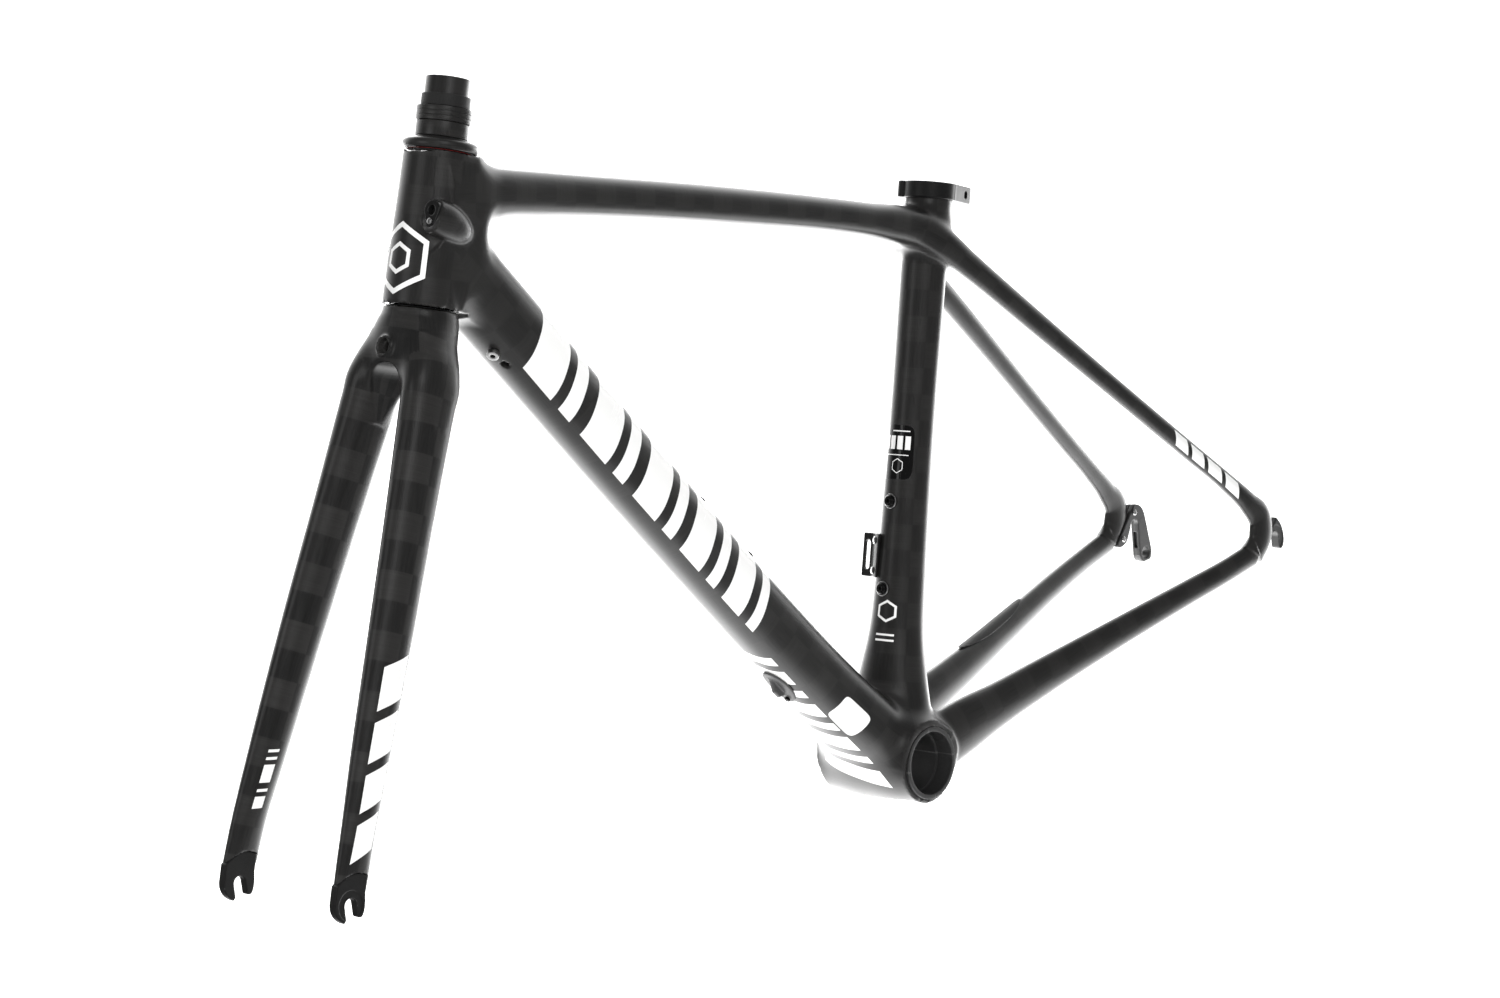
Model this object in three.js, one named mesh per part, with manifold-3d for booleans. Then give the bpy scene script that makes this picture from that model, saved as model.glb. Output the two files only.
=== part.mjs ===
// A racing bicycle frameset for rim brakes: a moulded carbon frame with its headset and a matching fork.
// Units are millimetres. +X points to the rear wheel, +Y to the drive (right) side and +Z up. The pieces
// are drawn about the centre of the bottom bracket, and the whole then stands with its origin on the middle
// plane, halfway between the axles and level with the underside of the bottom bracket shell.
import * as THREE from 'three';
import { mergeVertices } from 'three/addons/utils/BufferGeometryUtils.js';
import Module from 'manifold-3d';

const wasm = await Module();
wasm.setup();

// ---- Driving dimensions ----------------------------------------------------------------------------

const HEAD_ANGLE = THREE.MathUtils.degToRad(71);
const SEAT_ANGLE = THREE.MathUtils.degToRad(74.5);
const STACK = 507; // height of the head tube's top above the bottom bracket
const REACH = 364; // horizontal distance from the bottom bracket to the head tube's top
const HEAD_TUBE_LENGTH = 100;
const SEAT_TUBE_LENGTH = 419.5; // bottom bracket centre to the top of the seat tube
const CHAIN_STAY_LENGTH = 408;
const BB_DROP = 73; // the axles sit this far above the bottom bracket
const BB_WIDTH = 86.5;
const BB_BORE_RADIUS = 23;
const FORK_LENGTH = 376; // head tube's foot to the axle, along the steering axis
const FORK_RAKE = 49.5;
const REAR_SPACING = 130; // between the faces that the hub's locknuts touch
const FRONT_SPACING = 100;
const STEERER_RADIUS = 14.3;
const SEATPOST_BORE_RADIUS = 13.7;
const CARBON_WALL = 1.6;
const GAP = 0.3; // between a piece and the neighbour it is bonded to or rests on
const BOSS_SPACING = 64; // between the two bolts of a bottle cage

const REAR_AXLE = new THREE.Vector3(Math.sqrt(CHAIN_STAY_LENGTH ** 2 - BB_DROP ** 2), 0, BB_DROP);
const HEAD_TILT = Math.PI / 2 - HEAD_ANGLE;
const SEAT_TILT = Math.PI / 2 - SEAT_ANGLE;
const HEAD_FOOT = new THREE.Vector3(
  -REACH - HEAD_TUBE_LENGTH * Math.cos(HEAD_ANGLE),
  0,
  STACK - HEAD_TUBE_LENGTH * Math.sin(HEAD_ANGLE),
);

// The head frame stands on the head tube's foot with +Z up the steering axis; the seat frame stands on
// the bottom bracket with +Z up the seat tube.
const headFrame = new THREE.Matrix4().makeRotationY(HEAD_TILT).setPosition(HEAD_FOOT);
const seatFrame = new THREE.Matrix4().makeRotationY(SEAT_TILT);

// ---- Materials -------------------------------------------------------------------------------------

const carbon = new THREE.MeshStandardMaterial({ color: 0x2c2c2b, roughness: 0.55, metalness: 0.1 });
const anodised = new THREE.MeshStandardMaterial({ color: 0x1d1d1e, roughness: 0.4, metalness: 0.7 });
const darkAlloy = new THREE.MeshStandardMaterial({ color: 0x3f403e, roughness: 0.5, metalness: 0.7 });
const bareAlloy = new THREE.MeshStandardMaterial({ color: 0xb9babc, roughness: 0.35, metalness: 0.9 });
const steel = new THREE.MeshStandardMaterial({ color: 0xc9cacc, roughness: 0.25, metalness: 1 });
const blackSteel = new THREE.MeshStandardMaterial({ color: 0x17171a, roughness: 0.35, metalness: 0.8 });
const glossPlastic = new THREE.MeshStandardMaterial({ color: 0x0d0d0e, roughness: 0.2, metalness: 0 });
const mattePlastic = new THREE.MeshStandardMaterial({ color: 0x242424, roughness: 0.7, metalness: 0 });
const greyPlastic = new THREE.MeshStandardMaterial({ color: 0x7e7f80, roughness: 0.6, metalness: 0 });
const redRubber = new THREE.MeshStandardMaterial({ color: 0x8e1c1c, roughness: 0.7, metalness: 0 });

// ---- Making and joining solids ---------------------------------------------------------------------

const point = (x, y, z) => new THREE.Vector3(x, y, z);
const shift = (x, y, z) => new THREE.Matrix4().makeTranslation(x, y, z);

// A closed geometry as a solid that can be joined and cut, placed by a matrix.
function solid(geometry, place = new THREE.Matrix4()) {
  const bare = new THREE.BufferGeometry();
  bare.setAttribute('position', geometry.getAttribute('position').clone());
  bare.setIndex(geometry.index);
  bare.applyMatrix4(place);
  const merged = mergeVertices(bare, 1e-4);
  const corners = merged.index.array;
  const kept = [];
  for (let i = 0; i < corners.length; i += 3) {
    const [a, b, c] = [corners[i], corners[i + 1], corners[i + 2]];
    if (a !== b && b !== c && a !== c) kept.push(a, b, c);
  }
  const vertProperties = merged.getAttribute('position').array;
  return new wasm.Manifold(new wasm.Mesh({ numProp: 3, vertProperties, triVerts: Uint32Array.from(kept) }));
}

// The largest connected piece: a cut can leave small offcuts behind the neighbour that made it.
function mainPiece(body) {
  const pieces = body.decompose();
  return pieces.reduce((best, piece) => (piece.volume() > best.volume() ? piece : best));
}

function toGeometry(body) {
  const { vertProperties, triVerts } = body.getMesh();
  const geometry = new THREE.BufferGeometry();
  geometry.setAttribute('position', new THREE.BufferAttribute(Float32Array.from(vertProperties), 3));
  geometry.setIndex(new THREE.BufferAttribute(Uint32Array.from(triVerts), 1));
  geometry.computeVertexNormals();
  return geometry;
}

function addMesh(group, name, shape, material, place = null) {
  const geometry = shape.isBufferGeometry ? shape : toGeometry(mainPiece(shape));
  const mesh = new THREE.Mesh(geometry, material);
  mesh.name = name;
  if (place) mesh.applyMatrix4(place);
  group.add(mesh);
  return mesh;
}

// A ring or disc turned about +Z. The outline is a closed loop of [radius, height] points, counter-
// clockwise with the radius to the right.
function turned(outline, segments = 20) {
  const loop = [...outline, outline[0]].map(([radius, height]) => new THREE.Vector2(radius, height));
  return new THREE.LatheGeometry(loop, segments).rotateX(Math.PI / 2);
}

// A round bar along +Z from z = 0.
function bar(radius, length, segments = 20) {
  const round = new THREE.CylinderGeometry(radius, radius, length, segments);
  return round.rotateX(Math.PI / 2).translate(0, 0, length / 2);
}

// A flat plate whose outline is drawn in X and Z, standing upright and reaching from y = near to far.
function plate(shape, near, far) {
  return extruded(shape, far - near, 10).rotateX(Math.PI / 2).translate(0, far, 0);
}

function extruded(shape, depth, curveSegments) {
  return new THREE.ExtrudeGeometry(shape, { depth, curveSegments, bevelEnabled: false });
}

function outline(points) {
  return new THREE.Shape(points.map(([x, y]) => new THREE.Vector2(x, y)));
}

// A tube through stations. Each station has its centre, its width across the bicycle, its depth in the
// tube's own plane and how square it is: 2 is an ellipse and more is boxier. The tube can be grown
// sideways and made to reach further at both ends.
function tube({ stations, rings = stations.length - 1, around = 16 }, grow = 0, reach = 0) {
  const across = point(0, 1, 0);
  const path = new THREE.CatmullRomCurve3(stations.map((station) => station.at));
  const form = new THREE.CatmullRomCurve3(
    stations.map(({ wide, deep, square = 2 }) => point(wide / 2, deep / 2, square)),
  );
  const length = path.getLength();
  const skin = new THREE.CylinderGeometry(1, 1, 1 + (2 * reach) / length, around, rings);
  const vertices = skin.getAttribute('position');
  for (let i = 0; i < vertices.count; i++) {
    const along = vertices.getY(i) + 0.5;
    const inside = THREE.MathUtils.clamp(along, 0, 1);
    const forward = path.getTangent(inside);
    const side = across.clone().addScaledVector(forward, -across.dot(forward)).normalize();
    const rise = side.clone().cross(forward);
    const size = form.getPoint(inside);
    const [x, z] = [vertices.getX(i), vertices.getZ(i)];
    const round = 2 / size.z;
    const spot = path.getPoint(inside).addScaledVector(forward, (along - inside) * length);
    spot.addScaledVector(side, Math.sign(x) * Math.abs(x) ** round * (size.x + grow));
    spot.addScaledVector(rise, Math.sign(z) * Math.abs(z) ** round * (size.y + grow));
    vertices.setXYZ(i, spot.x, spot.y, spot.z);
  }
  return skin;
}

const VOID_REACH = 6; // a void runs out of both ends of its tube

// The inside of a tube, with plainer facets than its skin.
function voidOf({ stations, around }) {
  return solid(tube({ stations, around: Math.ceil(around / 2) }, -CARBON_WALL, VOID_REACH));
}

// The same tube with a wall, open at both ends.
const hollowTube = (form) => solid(tube(form)).subtract(voidOf(form));

// A tube a little larger than its neighbour, to cut away what would run into it.
const clearance = (form) => solid(tube(form, GAP, GAP));

// Turns +Z to +Y.
const acrossOutward = () => new THREE.Matrix4().makeRotationX(-Math.PI / 2);

const cutBy = (body, cutters) => cutters.reduce((left, cutter) => left.subtract(cutter), body);

// Both sides of a pair: the name's ending and the sign of y.
const SIDES = [
  ['left', -1],
  ['right', 1],
];

// ---- Stations of the frame's tubes -----------------------------------------------------------------

const onSeat = (height) => point(0, 0, height).applyMatrix4(seatFrame);
const onHead = (height) => point(0, 0, height).applyMatrix4(headFrame);

const downTubeForm = {
  rings: 12,
  around: 20,
  stations: [
    { at: point(-386, 0, 460), wide: 43, deep: 50, square: 2.2 },
    { at: point(-340, 0, 404), wide: 45, deep: 49.5, square: 2.3 },
    { at: point(-225, 0, 263), wide: 45, deep: 49, square: 2.4 },
    { at: point(-98, 0, 112), wide: 46, deep: 49, square: 2.4 },
    { at: point(-56, 0, 63), wide: 55, deep: 49, square: 2.4 },
    { at: point(-22, 0, 24), wide: 71, deep: 50, square: 2.6 },
    { at: point(2, 0, -3), wide: 78, deep: 50, square: 2.8 },
  ],
};

const topTubeForm = {
  rings: 10,
  around: 16,
  stations: [
    { at: point(-378, 0, 484), wide: 42, deep: 42, square: 2.3 },
    { at: point(-330, 0, 475.5), wide: 40, deep: 34, square: 2.5 },
    { at: point(-285, 0, 466.5), wide: 38, deep: 30.5, square: 2.6 },
    { at: point(-109, 0, 427.7), wide: 35, deep: 26, square: 2.6 },
    { at: point(31, 0, 393), wide: 34, deep: 25, square: 2.6 },
    { at: point(106, 0, 371), wide: 34, deep: 27, square: 2.6 },
  ],
};

const seatTubeForm = {
  rings: 16,
  around: 20,
  stations: [
    { at: onSeat(0), wide: 76, deep: 54 },
    { at: onSeat(30), wide: 68, deep: 52 },
    { at: onSeat(60), wide: 53, deep: 47 },
    { at: onSeat(90), wide: 42, deep: 39.5 },
    { at: onSeat(130), wide: 37.5, deep: 36.5 },
    { at: onSeat(190), wide: 34.2, deep: 34.2 },
    { at: onSeat(260), wide: 32.6, deep: 32.6 },
    { at: onSeat(330), wide: 33.2, deep: 33.2 },
    { at: onSeat(SEAT_TUBE_LENGTH), wide: 33.8, deep: 33.8 },
  ],
};

const seatStayForm = (side) => ({
  rings: 18,
  around: 12,
  stations: [
    { at: point(74, 11 * side, 381), wide: 14, deep: 22 },
    { at: point(98, 19 * side, 363), wide: 15, deep: 23 },
    { at: point(118, 23.5 * side, 345), wide: 14, deep: 19.5 },
    { at: point(183, 35 * side, 285), wide: 12.5, deep: 16.5 },
    { at: point(318, 60 * side, 161), wide: 11, deep: 14.2 },
    { at: point(352, 66 * side, 130), wide: 11, deep: 14.6 },
    { at: point(374, 69.5 * side, 108), wide: 11.5, deep: 18 },
    { at: point(386, 71 * side, 92), wide: 11.5, deep: 25 },
    { at: point(384, 71.5 * side, 78), wide: 11.5, deep: 27 },
    { at: point(373, 71.5 * side, 66), wide: 11.5, deep: 21 },
  ],
});

const chainStayForm = (side) => ({
  rings: 14,
  around: 14,
  stations: [
    { at: point(12, 27 * side, 3), wide: 25, deep: 46 },
    { at: point(49, 30.5 * side, 11), wide: 23, deep: 43 },
    { at: point(91, 33.5 * side, 18), wide: 20.5, deep: 34.5 },
    { at: point(133, 38 * side, 25.5), wide: 18, deep: 30 },
    { at: point(216, 50 * side, 40.5), wide: 15, deep: 23.5 },
    { at: point(299, 63 * side, 55), wide: 13.5, deep: 19.5 },
    { at: point(340, 68.5 * side, 61.5), wide: 12.5, deep: 18.5 },
    { at: point(372, 71 * side, 67), wide: 11.5, deep: 19 },
  ],
});

// ---- Head tube -------------------------------------------------------------------------------------

const LOWER_BEARING_RADIUS = 23.4;
const UPPER_BEARING_RADIUS = 20.9;
const BEARING_FIT = 0.25;
const LOWER_SEAT_DEPTH = 8;
const UPPER_SEAT_DEPTH = 9;
const SEAT_SHOULDER = 2; // height of the slope between a bearing seat and the bore
const HEAD_TOP_RADIUS = 23;
const HEAD_BOTTOM_RADIUS = 25.3;
const HEAD_TAPER_FROM = 14;
const HEAD_TAPER_TO = 80;
const HEAD_TAPER_RADIUS = HEAD_TOP_RADIUS + 0.3;
const HEAD_FACETS = 30;

function headTubeWalls() {
  const [lowerSeat, upperSeat] = [LOWER_BEARING_RADIUS + BEARING_FIT, UPPER_BEARING_RADIUS + BEARING_FIT];
  const upperFloor = HEAD_TUBE_LENGTH - UPPER_SEAT_DEPTH;
  return turned([
    [lowerSeat, 0],
    [HEAD_BOTTOM_RADIUS, 0],
    [HEAD_BOTTOM_RADIUS - 0.3, HEAD_TAPER_FROM],
    [HEAD_TAPER_RADIUS, HEAD_TAPER_TO],
    [HEAD_TOP_RADIUS, HEAD_TUBE_LENGTH],
    [upperSeat, HEAD_TUBE_LENGTH],
    [upperSeat, upperFloor],
    [19, upperFloor - SEAT_SHOULDER],
    [21, LOWER_SEAT_DEPTH + SEAT_SHOULDER],
    [lowerSeat, LOWER_SEAT_DEPTH],
  ], HEAD_FACETS);
}

// The cable port is a drop-shaped pod on the left of the head tube, open to the front.
const POD_Y = -22.6;
const POD_Z = 57;
const podForm = {
  rings: 6,
  around: 16,
  stations: [
    { at: point(-20.5, POD_Y, POD_Z), wide: 12.5, deep: 17 },
    { at: point(-8, -24, 54.5), wide: 13.5, deep: 19.5 },
    { at: point(4, -23, 51), wide: 12, deep: 17 },
    { at: point(17, -18.5, 47), wide: 6, deep: 9 },
  ],
};

// A straight oval bar along X in the pod's mouth.
const podBar = (from, to, wide, deep, around) => ({
  around,
  stations: [
    { at: point(from, POD_Y, POD_Z), wide, deep },
    { at: point(to, POD_Y, POD_Z), wide, deep },
  ],
});

function headTube() {
  const core = solid(bar(UPPER_BEARING_RADIUS + 1, HEAD_TUBE_LENGTH, 36));
  const pod = solid(tube(podForm)).subtract(core);
  return solid(headTubeWalls()).add(pod).subtract(solid(tube(podBar(-25, -17, 9.5, 14, 16))));
}

// What surrounds the head tube's bore, to trim the tubes that meet it.
const headTubeCutter = solid(
  turned([
    [0, -1],
    [HEAD_BOTTOM_RADIUS + GAP, -1],
    [HEAD_BOTTOM_RADIUS + GAP, HEAD_TAPER_FROM],
    [HEAD_TAPER_RADIUS + GAP, HEAD_TAPER_TO],
    [HEAD_TOP_RADIUS + GAP, HEAD_TUBE_LENGTH + 1],
    [0, HEAD_TUBE_LENGTH + 1],
  ], HEAD_FACETS),
  headFrame,
).add(solid(tube(podForm, GAP, GAP), headFrame));

// ---- Bottom bracket shell --------------------------------------------------------------------------

const SHELL_RADIUS = 28;
const SHELL_RIM_RADIUS = 26.4;
const HALF_SHELL = BB_WIDTH / 2;
const RIM_END = HALF_SHELL - 3; // between here and the slope's end, the shell widens from its rim
const RIM_SLOPE_END = HALF_SHELL - 6;
const SEAT_END = HALF_SHELL - 14; // the bearing seats are this far from the middle plane
const BB_STOP_RADIUS = 21.5; // the bore narrows behind the bearing seats

function shellWalls() {
  return turned([
    [BB_BORE_RADIUS, -HALF_SHELL],
    [SHELL_RIM_RADIUS, -HALF_SHELL],
    [SHELL_RIM_RADIUS, -RIM_END],
    [SHELL_RADIUS, -RIM_SLOPE_END],
    [SHELL_RADIUS, RIM_SLOPE_END],
    [SHELL_RIM_RADIUS, RIM_END],
    [SHELL_RIM_RADIUS, HALF_SHELL],
    [BB_BORE_RADIUS, HALF_SHELL],
    [BB_BORE_RADIUS, SEAT_END],
    [BB_STOP_RADIUS, SEAT_END],
    [BB_STOP_RADIUS, -SEAT_END],
    [BB_BORE_RADIUS, -SEAT_END],
  ], HEAD_FACETS);
}

const acrossFrame = new THREE.Matrix4().makeRotationX(Math.PI / 2);
const bottomBracketShell = solid(shellWalls(), acrossFrame);
const CUTTER_END = HALF_SHELL + 20;
const shellCutter = solid(
  turned([
    [0, -CUTTER_END],
    [SHELL_RIM_RADIUS + GAP, -CUTTER_END],
    [SHELL_RIM_RADIUS + GAP, -RIM_END],
    [SHELL_RADIUS + GAP, -RIM_SLOPE_END],
    [SHELL_RADIUS + GAP, RIM_SLOPE_END],
    [SHELL_RIM_RADIUS + GAP, RIM_END],
    [SHELL_RIM_RADIUS + GAP, CUTTER_END],
    [0, CUTTER_END],
  ], HEAD_FACETS),
  acrossFrame,
);

// ---- Rear dropouts and the derailleur hanger -------------------------------------------------------

const AXLE_SLOT_RADIUS = 5.1;
const REAR_DROPOUT_THICKNESS = 8;
const HANGER_THICKNESS = 4;

// The left dropout: a narrow strip along the bond line and a hood over the axle slot. Drawn about the axle.
function leftDropoutOutline() {
  const shape = new THREE.Shape();
  shape.moveTo(4.6, 15.8);
  shape.lineTo(-20.5, -11.2);
  shape.lineTo(-17.2, -12.4);
  shape.lineTo(-AXLE_SLOT_RADIUS - 0.4, -1.5);
  shape.absarc(0, 0, AXLE_SLOT_RADIUS, Math.PI, 0, true);
  shape.lineTo(AXLE_SLOT_RADIUS, -8.4);
  shape.quadraticCurveTo(5.6, -10.2, 8, -10.2);
  shape.quadraticCurveTo(11.6, -9.6, 12.4, -3);
  shape.quadraticCurveTo(13, 8, 4.6, 15.8);
  return shape;
}

// The tab on the drive side that the hanger is screwed to.
function rightDropoutOutline() {
  const shape = new THREE.Shape();
  shape.moveTo(1.5, 17);
  shape.lineTo(-22.5, -8);
  shape.quadraticCurveTo(-26, -12.5, -20, -13);
  shape.quadraticCurveTo(-12.5, -12, -10, -6);
  shape.lineTo(-7, 4);
  shape.quadraticCurveTo(-4, 8, 0, 8);
  shape.quadraticCurveTo(6, 9, 7.5, 14);
  shape.quadraticCurveTo(6, 17.5, 1.5, 17);
  return shape;
}

function hangerPlateOutline() {
  const shape = new THREE.Shape();
  shape.moveTo(1.5, 17.2);
  shape.lineTo(-23, -8.3);
  shape.quadraticCurveTo(-26.5, -12.6, -20.5, -13.2);
  shape.quadraticCurveTo(-12.5, -12.6, -10, -8);
  shape.lineTo(-AXLE_SLOT_RADIUS, 0);
  shape.absarc(0, 0, AXLE_SLOT_RADIUS, Math.PI, 0, true);
  shape.lineTo(4.2, -26);
  shape.quadraticCurveTo(4.6, -31.5, 9, -32);
  shape.lineTo(17, -31.6);
  shape.quadraticCurveTo(20.5, -28, 19, -20);
  shape.lineTo(15.3, 2);
  shape.quadraticCurveTo(14, 14.5, 6, 16.5);
  shape.quadraticCurveTo(3.5, 17.8, 1.5, 17.2);
  return shape;
}

function hangerArmOutline() {
  const shape = new THREE.Shape();
  shape.moveTo(AXLE_SLOT_RADIUS, 3);
  shape.lineTo(4.2, -26);
  shape.quadraticCurveTo(4.6, -31.5, 9, -32);
  shape.lineTo(17, -31.6);
  shape.quadraticCurveTo(20.5, -28, 19, -20);
  shape.lineTo(15.3, 2);
  shape.quadraticCurveTo(12, 6, 8.6, 4);
  return shape;
}

const HANGER_SCREWS = [
  ['upper', 0.5, 11.2],
  ['lower', -16.8, -7],
];
const DERAILLEUR_HOLE = [11.8, -25];
const DERAILLEUR_HOLE_RADIUS = 4.6;
const HANGER_SCREW_HOLE_RADIUS = 1.75;
const HANGER_SCREW_HEAD_RADIUS = 2.4;
const HANGER_SCREW_SHANK_RADIUS = 1.45;
const HANGER_SCREW_LENGTH = 8.6;
const HANGER_SCREW_SINK = 1.6; // the heads stand this far out of the hanger's inner face

const axleFrame = shift(REAR_AXLE.x, 0, REAR_AXLE.z);
const innerFace = REAR_SPACING / 2;
const outerFace = innerFace + REAR_DROPOUT_THICKNESS;

// A round hole across the bicycle, at a place drawn about the rear axle.
function crossHole(radius, x, z, near, far) {
  const hole = new THREE.CylinderGeometry(radius, radius, far - near, 16).translate(x, (near + far) / 2, z);
  return solid(hole, axleFrame);
}

function rearDropoutLeft() {
  return solid(plate(leftDropoutOutline(), -outerFace, -innerFace), axleFrame);
}

function rearDropoutRight() {
  const tab = solid(plate(rightDropoutOutline(), innerFace + HANGER_THICKNESS + GAP, outerFace), axleFrame);
  return cutBy(tab, hangerScrewHoles());
}

function hangerScrewHoles() {
  const [near, far] = [innerFace - 1, outerFace + 1];
  return HANGER_SCREWS.map(([, x, z]) => crossHole(HANGER_SCREW_HOLE_RADIUS, x, z, near, far));
}

function derailleurHanger() {
  const base = solid(plate(hangerPlateOutline(), innerFace, innerFace + HANGER_THICKNESS), axleFrame);
  const arm = solid(plate(hangerArmOutline(), innerFace + 0.5, outerFace), axleFrame);
  const pocketPlace = axleFrame.clone().multiply(shift(4, innerFace + HANGER_THICKNESS, -13));
  const pocket = solid(new THREE.BoxGeometry(7, 3.4, 13), pocketPlace);
  const [holeX, holeZ] = DERAILLEUR_HOLE;
  const thread = crossHole(DERAILLEUR_HOLE_RADIUS, holeX, holeZ, innerFace - 1, outerFace + 1);
  return cutBy(base.add(arm), [pocket, thread, ...hangerScrewHoles()]);
}

// A hanger screw with a hex socket; its head is at the bottom of its own frame.
function hangerScrew() {
  const body = solid(
    turned([
      [0, 0],
      [HANGER_SCREW_HEAD_RADIUS - 0.5, 0],
      [HANGER_SCREW_HEAD_RADIUS, 0.5],
      [HANGER_SCREW_HEAD_RADIUS, 1.5],
      [HANGER_SCREW_SHANK_RADIUS, 1.5],
      [HANGER_SCREW_SHANK_RADIUS, HANGER_SCREW_LENGTH],
      [0, HANGER_SCREW_LENGTH],
    ], 16),
  );
  const socket = solid(new THREE.CylinderGeometry(1.1, 1.1, 1.6, 6).rotateX(Math.PI / 2));
  return body.subtract(socket);
}

// ---- Frame tubes, trimmed against one another ------------------------------------------------------

const seatCutter = clearance(seatTubeForm);
const downCutter = clearance(downTubeForm);
const topCutter = clearance(topTubeForm);

const BOSS_RADIUS = 3.6;
const SEAT_BOSS_LOWEST = 123;
const DOWN_BOSS_LOWEST = 70;

// Where a fitting stands on a tube: its origin on the tube's axis and +Z out through the wall.
function facing(origin, outward, across = point(0, 1, 0)) {
  const out = outward.clone().normalize();
  return new THREE.Matrix4().makeBasis(across.clone().cross(out), across, out).setPosition(origin);
}

const seatForward = point(-1, 0, 0).transformDirection(seatFrame);
const seatBosses = [0, BOSS_SPACING].map((step) => facing(onSeat(SEAT_BOSS_LOWEST + step), seatForward));
const SEAT_BOSS_SURFACE = [18.7, 17.15]; // from the tube's axis to its skin, at the two bosses

// Distances on the down tube run up its straight part from this foot.
const downAxisFoot = downTubeForm.stations[3].at;
const downAxisHead = downTubeForm.stations[2].at;
const downDirection = downAxisHead.clone().sub(downAxisFoot).normalize();
const downOutward = point(downDirection.z, 0, -downDirection.x);
const onDown = (distance) => downAxisFoot.clone().addScaledVector(downDirection, distance);
const downBosses = [0, BOSS_SPACING].map((step) => facing(onDown(DOWN_BOSS_LOWEST + step), downOutward));
const DOWN_BOSS_SURFACE = [24.55, 24.55];

// The opening under the down tube, with its cover's screw behind it.
const portFacing = facing(onDown(-18), downOutward.clone().negate());
const portScrewAxis = portFacing.clone().multiply(shift(-13, 0, 0));
const PORT_SCREW_HEIGHT = 26.8;

// The two cable holes low on the left side of the down tube.
const sideHoleOutward = downOutward.clone().multiplyScalar(-0.938).add(point(0, -0.347, 0)).normalize();
const sideHoleAcross = point(0, 0, 0).crossVectors(sideHoleOutward, downDirection);
const SIDE_HOLE_RADIUS = 2.8;
const sideHoles = [360, 347].map((distance) => facing(onDown(distance), sideHoleOutward, sideHoleAcross));

function drilled(places, radius, from, to) {
  return places.map((place) => solid(bar(radius, to - from, 12).translate(0, 0, from), place));
}

const SEATPOST_BORE_BOTTOM = 135;
const SLIT_WIDTH = 1.6;
const SLIT_DEPTH = 13; // down from the top of the seat tube, at the back

function seatTube() {
  const boreLength = SEAT_TUBE_LENGTH - SEATPOST_BORE_BOTTOM + 15;
  const borePlace = seatFrame.clone().multiply(shift(0, 0, SEATPOST_BORE_BOTTOM));
  const bore = solid(bar(SEATPOST_BORE_RADIUS, boreLength, 32), borePlace);
  const shell = solid(tube(seatTubeForm));
  const lower = voidOf({ stations: seatTubeForm.stations.slice(0, 6), around: seatTubeForm.around });
  const slitPlace = seatFrame.clone().multiply(shift(15, 0, SEAT_TUBE_LENGTH));
  const slit = solid(new THREE.BoxGeometry(12, SLIT_WIDTH, 2 * SLIT_DEPTH), slitPlace);
  const holes = drilled(seatBosses, BOSS_RADIUS + 0.2, 5, 30);
  return cutBy(shell, [bore, lower, slit, shellCutter, downCutter, ...holes]);
}

function downTube() {
  const holes = drilled(downBosses, BOSS_RADIUS + 0.2, 5, 40);
  const port = solid(tube(prism(13, 20, 14, 40)), portFacing.clone().multiply(shift(2.5, 0, 0)));
  const exits = drilled(sideHoles, SIDE_HOLE_RADIUS, 5, 40);
  const screwHole = solid(bar(1.7, 30, 12).translate(0, 0, 14), portScrewAxis);
  return cutBy(hollowTube(downTubeForm), [
    shellCutter,
    headTubeCutter,
    port,
    screwHole,
    ...holes,
    ...exits,
  ]);
}

// An oval prism that stands on z = from and reaches to z = to.
function prism(wide, deep, from, to, square = 2) {
  const size = { wide, deep, square };
  return { around: 20, stations: [{ at: point(0, 0, from), ...size }, { at: point(0, 0, to), ...size }] };
}

const topTube = () => cutBy(hollowTube(topTubeForm), [headTubeCutter, seatCutter, downCutter]);

const dropoutCutters = {
  left: solid(plate(leftDropoutOutline(), -outerFace - 6, -innerFace + 6), axleFrame),
  right: solid(plate(hangerPlateOutline(), innerFace - 6, outerFace + 6), axleFrame),
};

function seatStay(name, side) {
  return cutBy(hollowTube(seatStayForm(side)), [seatCutter, topCutter, dropoutCutters[name]]);
}

function chainStay(name, side) {
  const stayEnd = clearance(seatStayForm(side));
  return cutBy(hollowTube(chainStayForm(side)), [
    shellCutter,
    seatCutter,
    downCutter,
    stayEnd,
    dropoutCutters[name],
  ]);
}

// ---- Fittings on the frame -------------------------------------------------------------------------

const BOSS_FLANGE_RADIUS = 5.6;
const BOSS_FACE_HEIGHT = 1.1; // above the tube's skin
const BOSS_LENGTH = 9; // below the tube's skin
const BOSS_THREAD_RADIUS = 2.6;
const BOLT_HEAD_RADIUS = 4.4;
const BOLT_HEAD_HEIGHT = 2.6;
const BOLT_RECESS = 0.3; // the bolt's head sits this deep in the flange

// A threaded insert: a thin flange on the tube, dished for the bolt's head, and a sleeve through the wall.
function bossInsert(surface) {
  const face = surface + BOSS_FACE_HEIGHT;
  return turned([
    [BOSS_THREAD_RADIUS, surface - BOSS_LENGTH],
    [BOSS_RADIUS, surface - BOSS_LENGTH],
    [BOSS_RADIUS, surface + GAP],
    [BOSS_FLANGE_RADIUS, surface + GAP],
    [BOSS_FLANGE_RADIUS - 0.2, face],
    [BOLT_HEAD_RADIUS + GAP, face],
    [BOLT_HEAD_RADIUS + GAP, face - BOLT_RECESS],
    [BOSS_THREAD_RADIUS, face - BOLT_RECESS],
  ], 16);
}

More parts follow.
